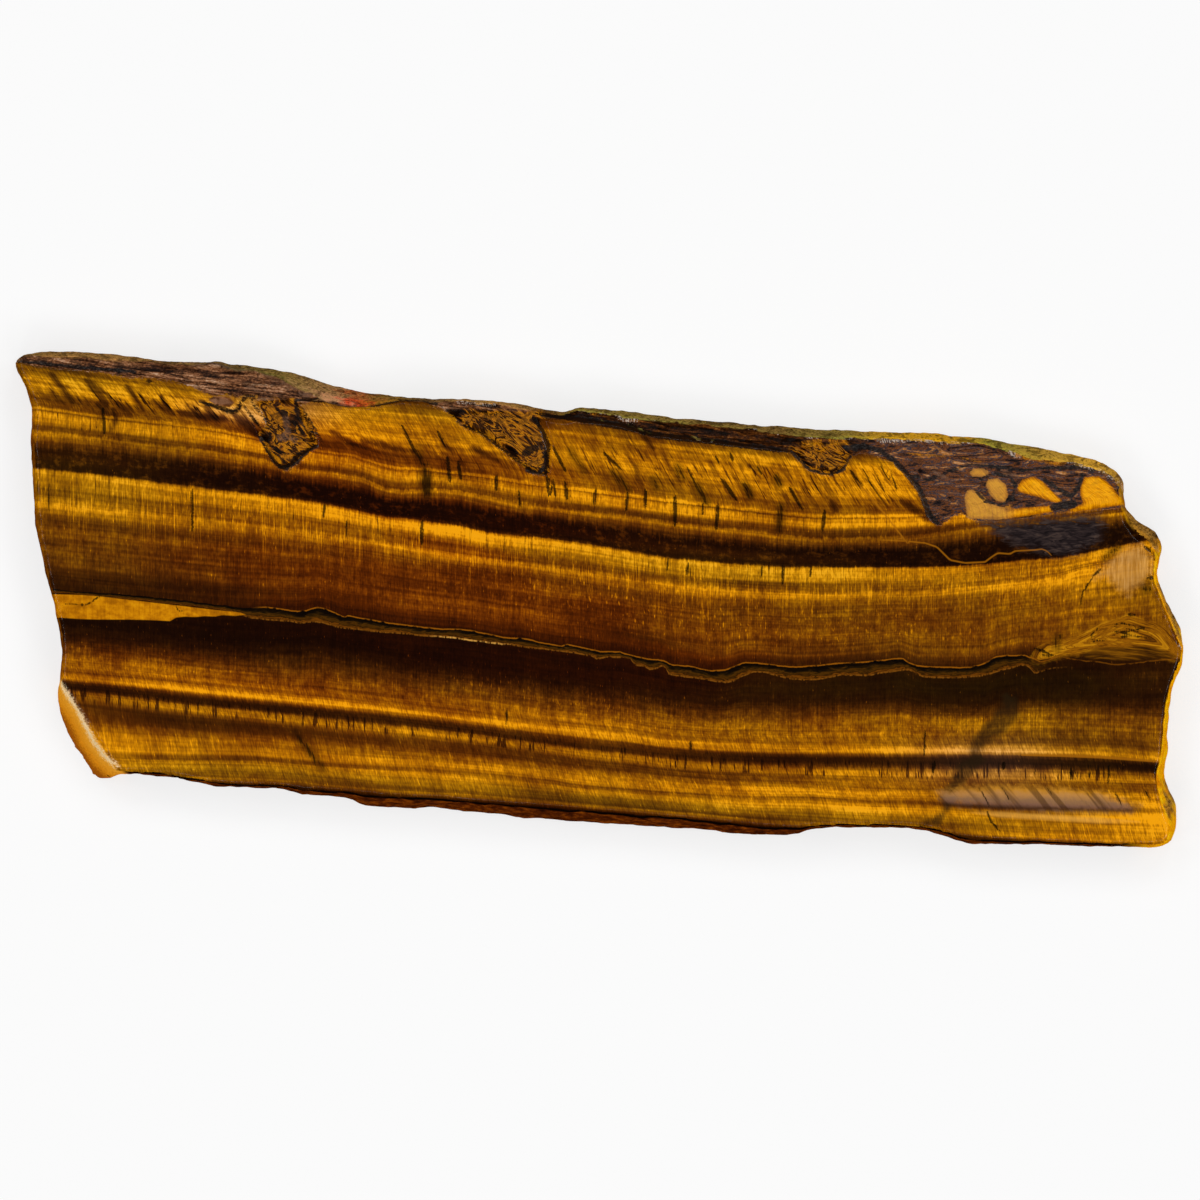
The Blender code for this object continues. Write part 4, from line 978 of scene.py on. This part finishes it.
def brokenSides(colour, rock):
    # the four broken sides and the skin above the crust, the sides coloured by which way they face: a
    # painted glow on the right wall, painted shade on the foot wall
    outside = fade(number("pocket"), -0.4, -1.0)
    onRight = fade(side, 0.2, 0.5)
    edge = larger(window(up, -0.75, 0.76, 0.13), times(window(up, -0.75, 0.88, 0.1), onRight))
    edge = times(edge, outside)
    wallNoise = grain(place, (0.5, 0.5, 0.5), 3, .6, 101)
    glowingRightWall = ramp(wallNoise, "glowingRightWall")
    leftWall = ramp(wallNoise, "leftWall")
    shadedFootWall = ramp(wallNoise, "shadedFootWall")
    # painted shade, near black, on the lower part of the foot wall
    shadedFootWall = mix(fade(z, 9.2, 11.0), shadedFootWall, "0A0402")
    skinPlace = scaled(minus(wallNoise, .5), .06, times(x, 1 / 240))
    skin = ramp(skinPlace, "skin")
    rind = ramp(fineRubble, "rind")
    rindShare = scaled(window(x, 174, 226, 4), -.36, .66)
    skin = mix(times(fade(scaled(wallNoise, 4.0, z), 11.2, 8.6), rindShare), skin, rind)
    lip = fade(scaled(wallNoise, 2.0, z), 11.2, 12.2)
    skin = mix(times(times(lip, fade(x, 66, 56)), .8), skin, rock)
    skin = mix(times(fade(rubble, .5, .38), .6), skin, "34200C")
    skin = mix(times(fade(fineRubble, .46, .36), .85), skin, "1E120A")
    shadedFootWall = mix(fade(x, 224, 232), shadedFootWall, glowingRightWall)
    sides = mix(onRight, leftWall, glowingRightWall)
    sides = mix(fade(away, -0.2, -0.6), sides, shadedFootWall)
    sides = mix(fade(away, 0.2, 0.5), sides, skin)
    # the broken corner's facet: its gold colour turning cream as a painted highlight near the glare line
    facet = times(fade(x, 25.5, 24), fade(y, 35, 33.5))
    fromGlare = scaled(minus(fineRubble, .5), 2.4, number("glare"))
    facetWithGlare = ramp(times(fromGlare, .25), "facetWithGlare")
    sides = mix(facet, sides, facetWithGlare)
    kept = larger(fade(calc("ABSOLUTE", away), .35, .7), facet)
    kept = larger(kept, times(onRight, fade(y, 66, 56)))
    colour = mix(times(edge, larger(kept, .35)), colour, sides)
    # a painted cream highlight along the facet's ridge
    ridgeGlare = times(times(facet, fade(fromGlare, .6, -.2)), .8)
    colour = mix(ridgeGlare, colour, "FFDDA8")
    return colour


def paintStone():
    colour = bandColour(fibreGlow())
    for layOver in (rightReflections, lowerRight, swirlAndLens, seamAndSplinter):
        colour = layOver(colour)
    colour, rock = crustOver(colour)
    colour = brokenSides(cutsAndThreads(colour), rock)
    broken = fade(up, 0.993, 0.978)
    matt = larger(fade(number("crust"), -0.1, 0.3), broken)
    rough = addNode("Mix", {0: matt, 2: stone["polish"], 3: stone["dull"]}).outputs[0]
    gloss = addNode("Mix", {0: matt, 2: stone["polishShine"], 3: stone["dullShine"]}).outputs[0]
    gloss = times(gloss, minus(1.0, broken))
    bumps = times(grain(place, (1.6, 1.6, 1.6), 2, .6, 121), matt)
    bump = addNode("Bump", {"Height": times(bumps, stone["bumps"]), "Distance": 0.001, "Strength": 1.0})
    result = addNode("BsdfPrincipled",
                     {"Base Color": colour, "Roughness": rough, "Specular IOR Level": gloss,
                      "IOR": stone["refraction"], "Normal": bump.outputs[0]})
    addNode("OutputMaterial", {"Surface": result.outputs[0]})


piece = makeStone()
piece.data.materials.clear()
piece.data.materials.append(tigersEye)
paintStone()
layOut(piece)
bpy.ops.object.select_all(action="DESELECT")
piece.select_set(True)
bpy.context.view_layer.objects.active = piece
bpy.ops.object.shade_smooth_by_angle(angle=math.radians(stone["smoothUnder"]))
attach(piece, "root")
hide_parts("tigers_eye_slab")
print("stone dressed:", sum(len(p.vertices) - 2 for p in piece.data.polygons), "triangles")

studio = {
    "lens": 300,
    "sensor": 36,
    "sightEnd": 20,
    "frameWidth": 0.240,
    "aim": (120.0, 50.0),
    "boxes": 8,
    "boxSize": 0.5,
    "boxPower": 3.9,
    "boxDistance": 0.9,
    "boxHeight": 1.3,
    "firstBoxTurn": 30,
    "skyGlow": 0.005,
    "floor": "8C8C8C",
    "floorGlow": 0.70,
    "floorSize": 8,
    "floorRough": .9,
    "floorLevel": -0.0002,
}


def makeStudio():
    bpy.ops.object.select_all(action="DESELECT")
    bpy.ops.mesh.primitive_plane_add(size=studio["floorSize"], location=(0, 0, studio["floorLevel"]))
    floor = bpy.context.object
    floor.name = "floor"
    paint = bpy.data.materials.new("floorPaint")
    paint.use_nodes = True
    shader = paint.node_tree.nodes["Principled BSDF"]
    shader.inputs["Base Color"].default_value = toLinear(studio["floor"])
    shader.inputs["Roughness"].default_value = studio["floorRough"]
    shader.inputs["Specular IOR Level"].default_value = 0.0
    shader.inputs["Emission Color"].default_value = (1, 1, 1, 1)
    shader.inputs["Emission Strength"].default_value = studio["floorGlow"]
    floor.data.materials.append(paint)
    world = bpy.data.worlds.new("studio")
    bpy.context.scene.world = world
    world.use_nodes = True
    sky = world.node_tree.nodes["Background"]
    sky.inputs["Color"].default_value = (1, 1, 1, 1)
    sky.inputs["Strength"].default_value = studio["skyGlow"]
    away, high = studio["boxDistance"], studio["boxHeight"]
    for i in range(studio["boxes"]):
        turn = math.tau * i / studio["boxes"] + math.radians(studio["firstBoxTurn"])
        spot = (away * math.cos(turn), away * math.sin(turn), high)
        bpy.ops.object.light_add(type="AREA", location=spot, rotation=(0, math.atan2(away, high), turn))
        lamp = bpy.context.object
        lamp.data.size = studio["boxSize"]
        lamp.data.energy = studio["boxPower"]
    ax, ay = fromSheet(*studio["aim"])
    height = studio["frameWidth"] * studio["lens"] / studio["sensor"] + sheet["thickness"] / 1000
    bpy.ops.object.camera_add(location=(ax, ay, height), rotation=(0, 0, math.radians(sheet["lean"])))
    camera = bpy.context.object
    camera.data.lens = studio["lens"]
    camera.data.clip_end = studio["sightEnd"]
    bpy.context.scene.camera = camera
    bpy.context.scene.view_settings.view_transform = "Standard"


makeStudio()
print("studio lit")
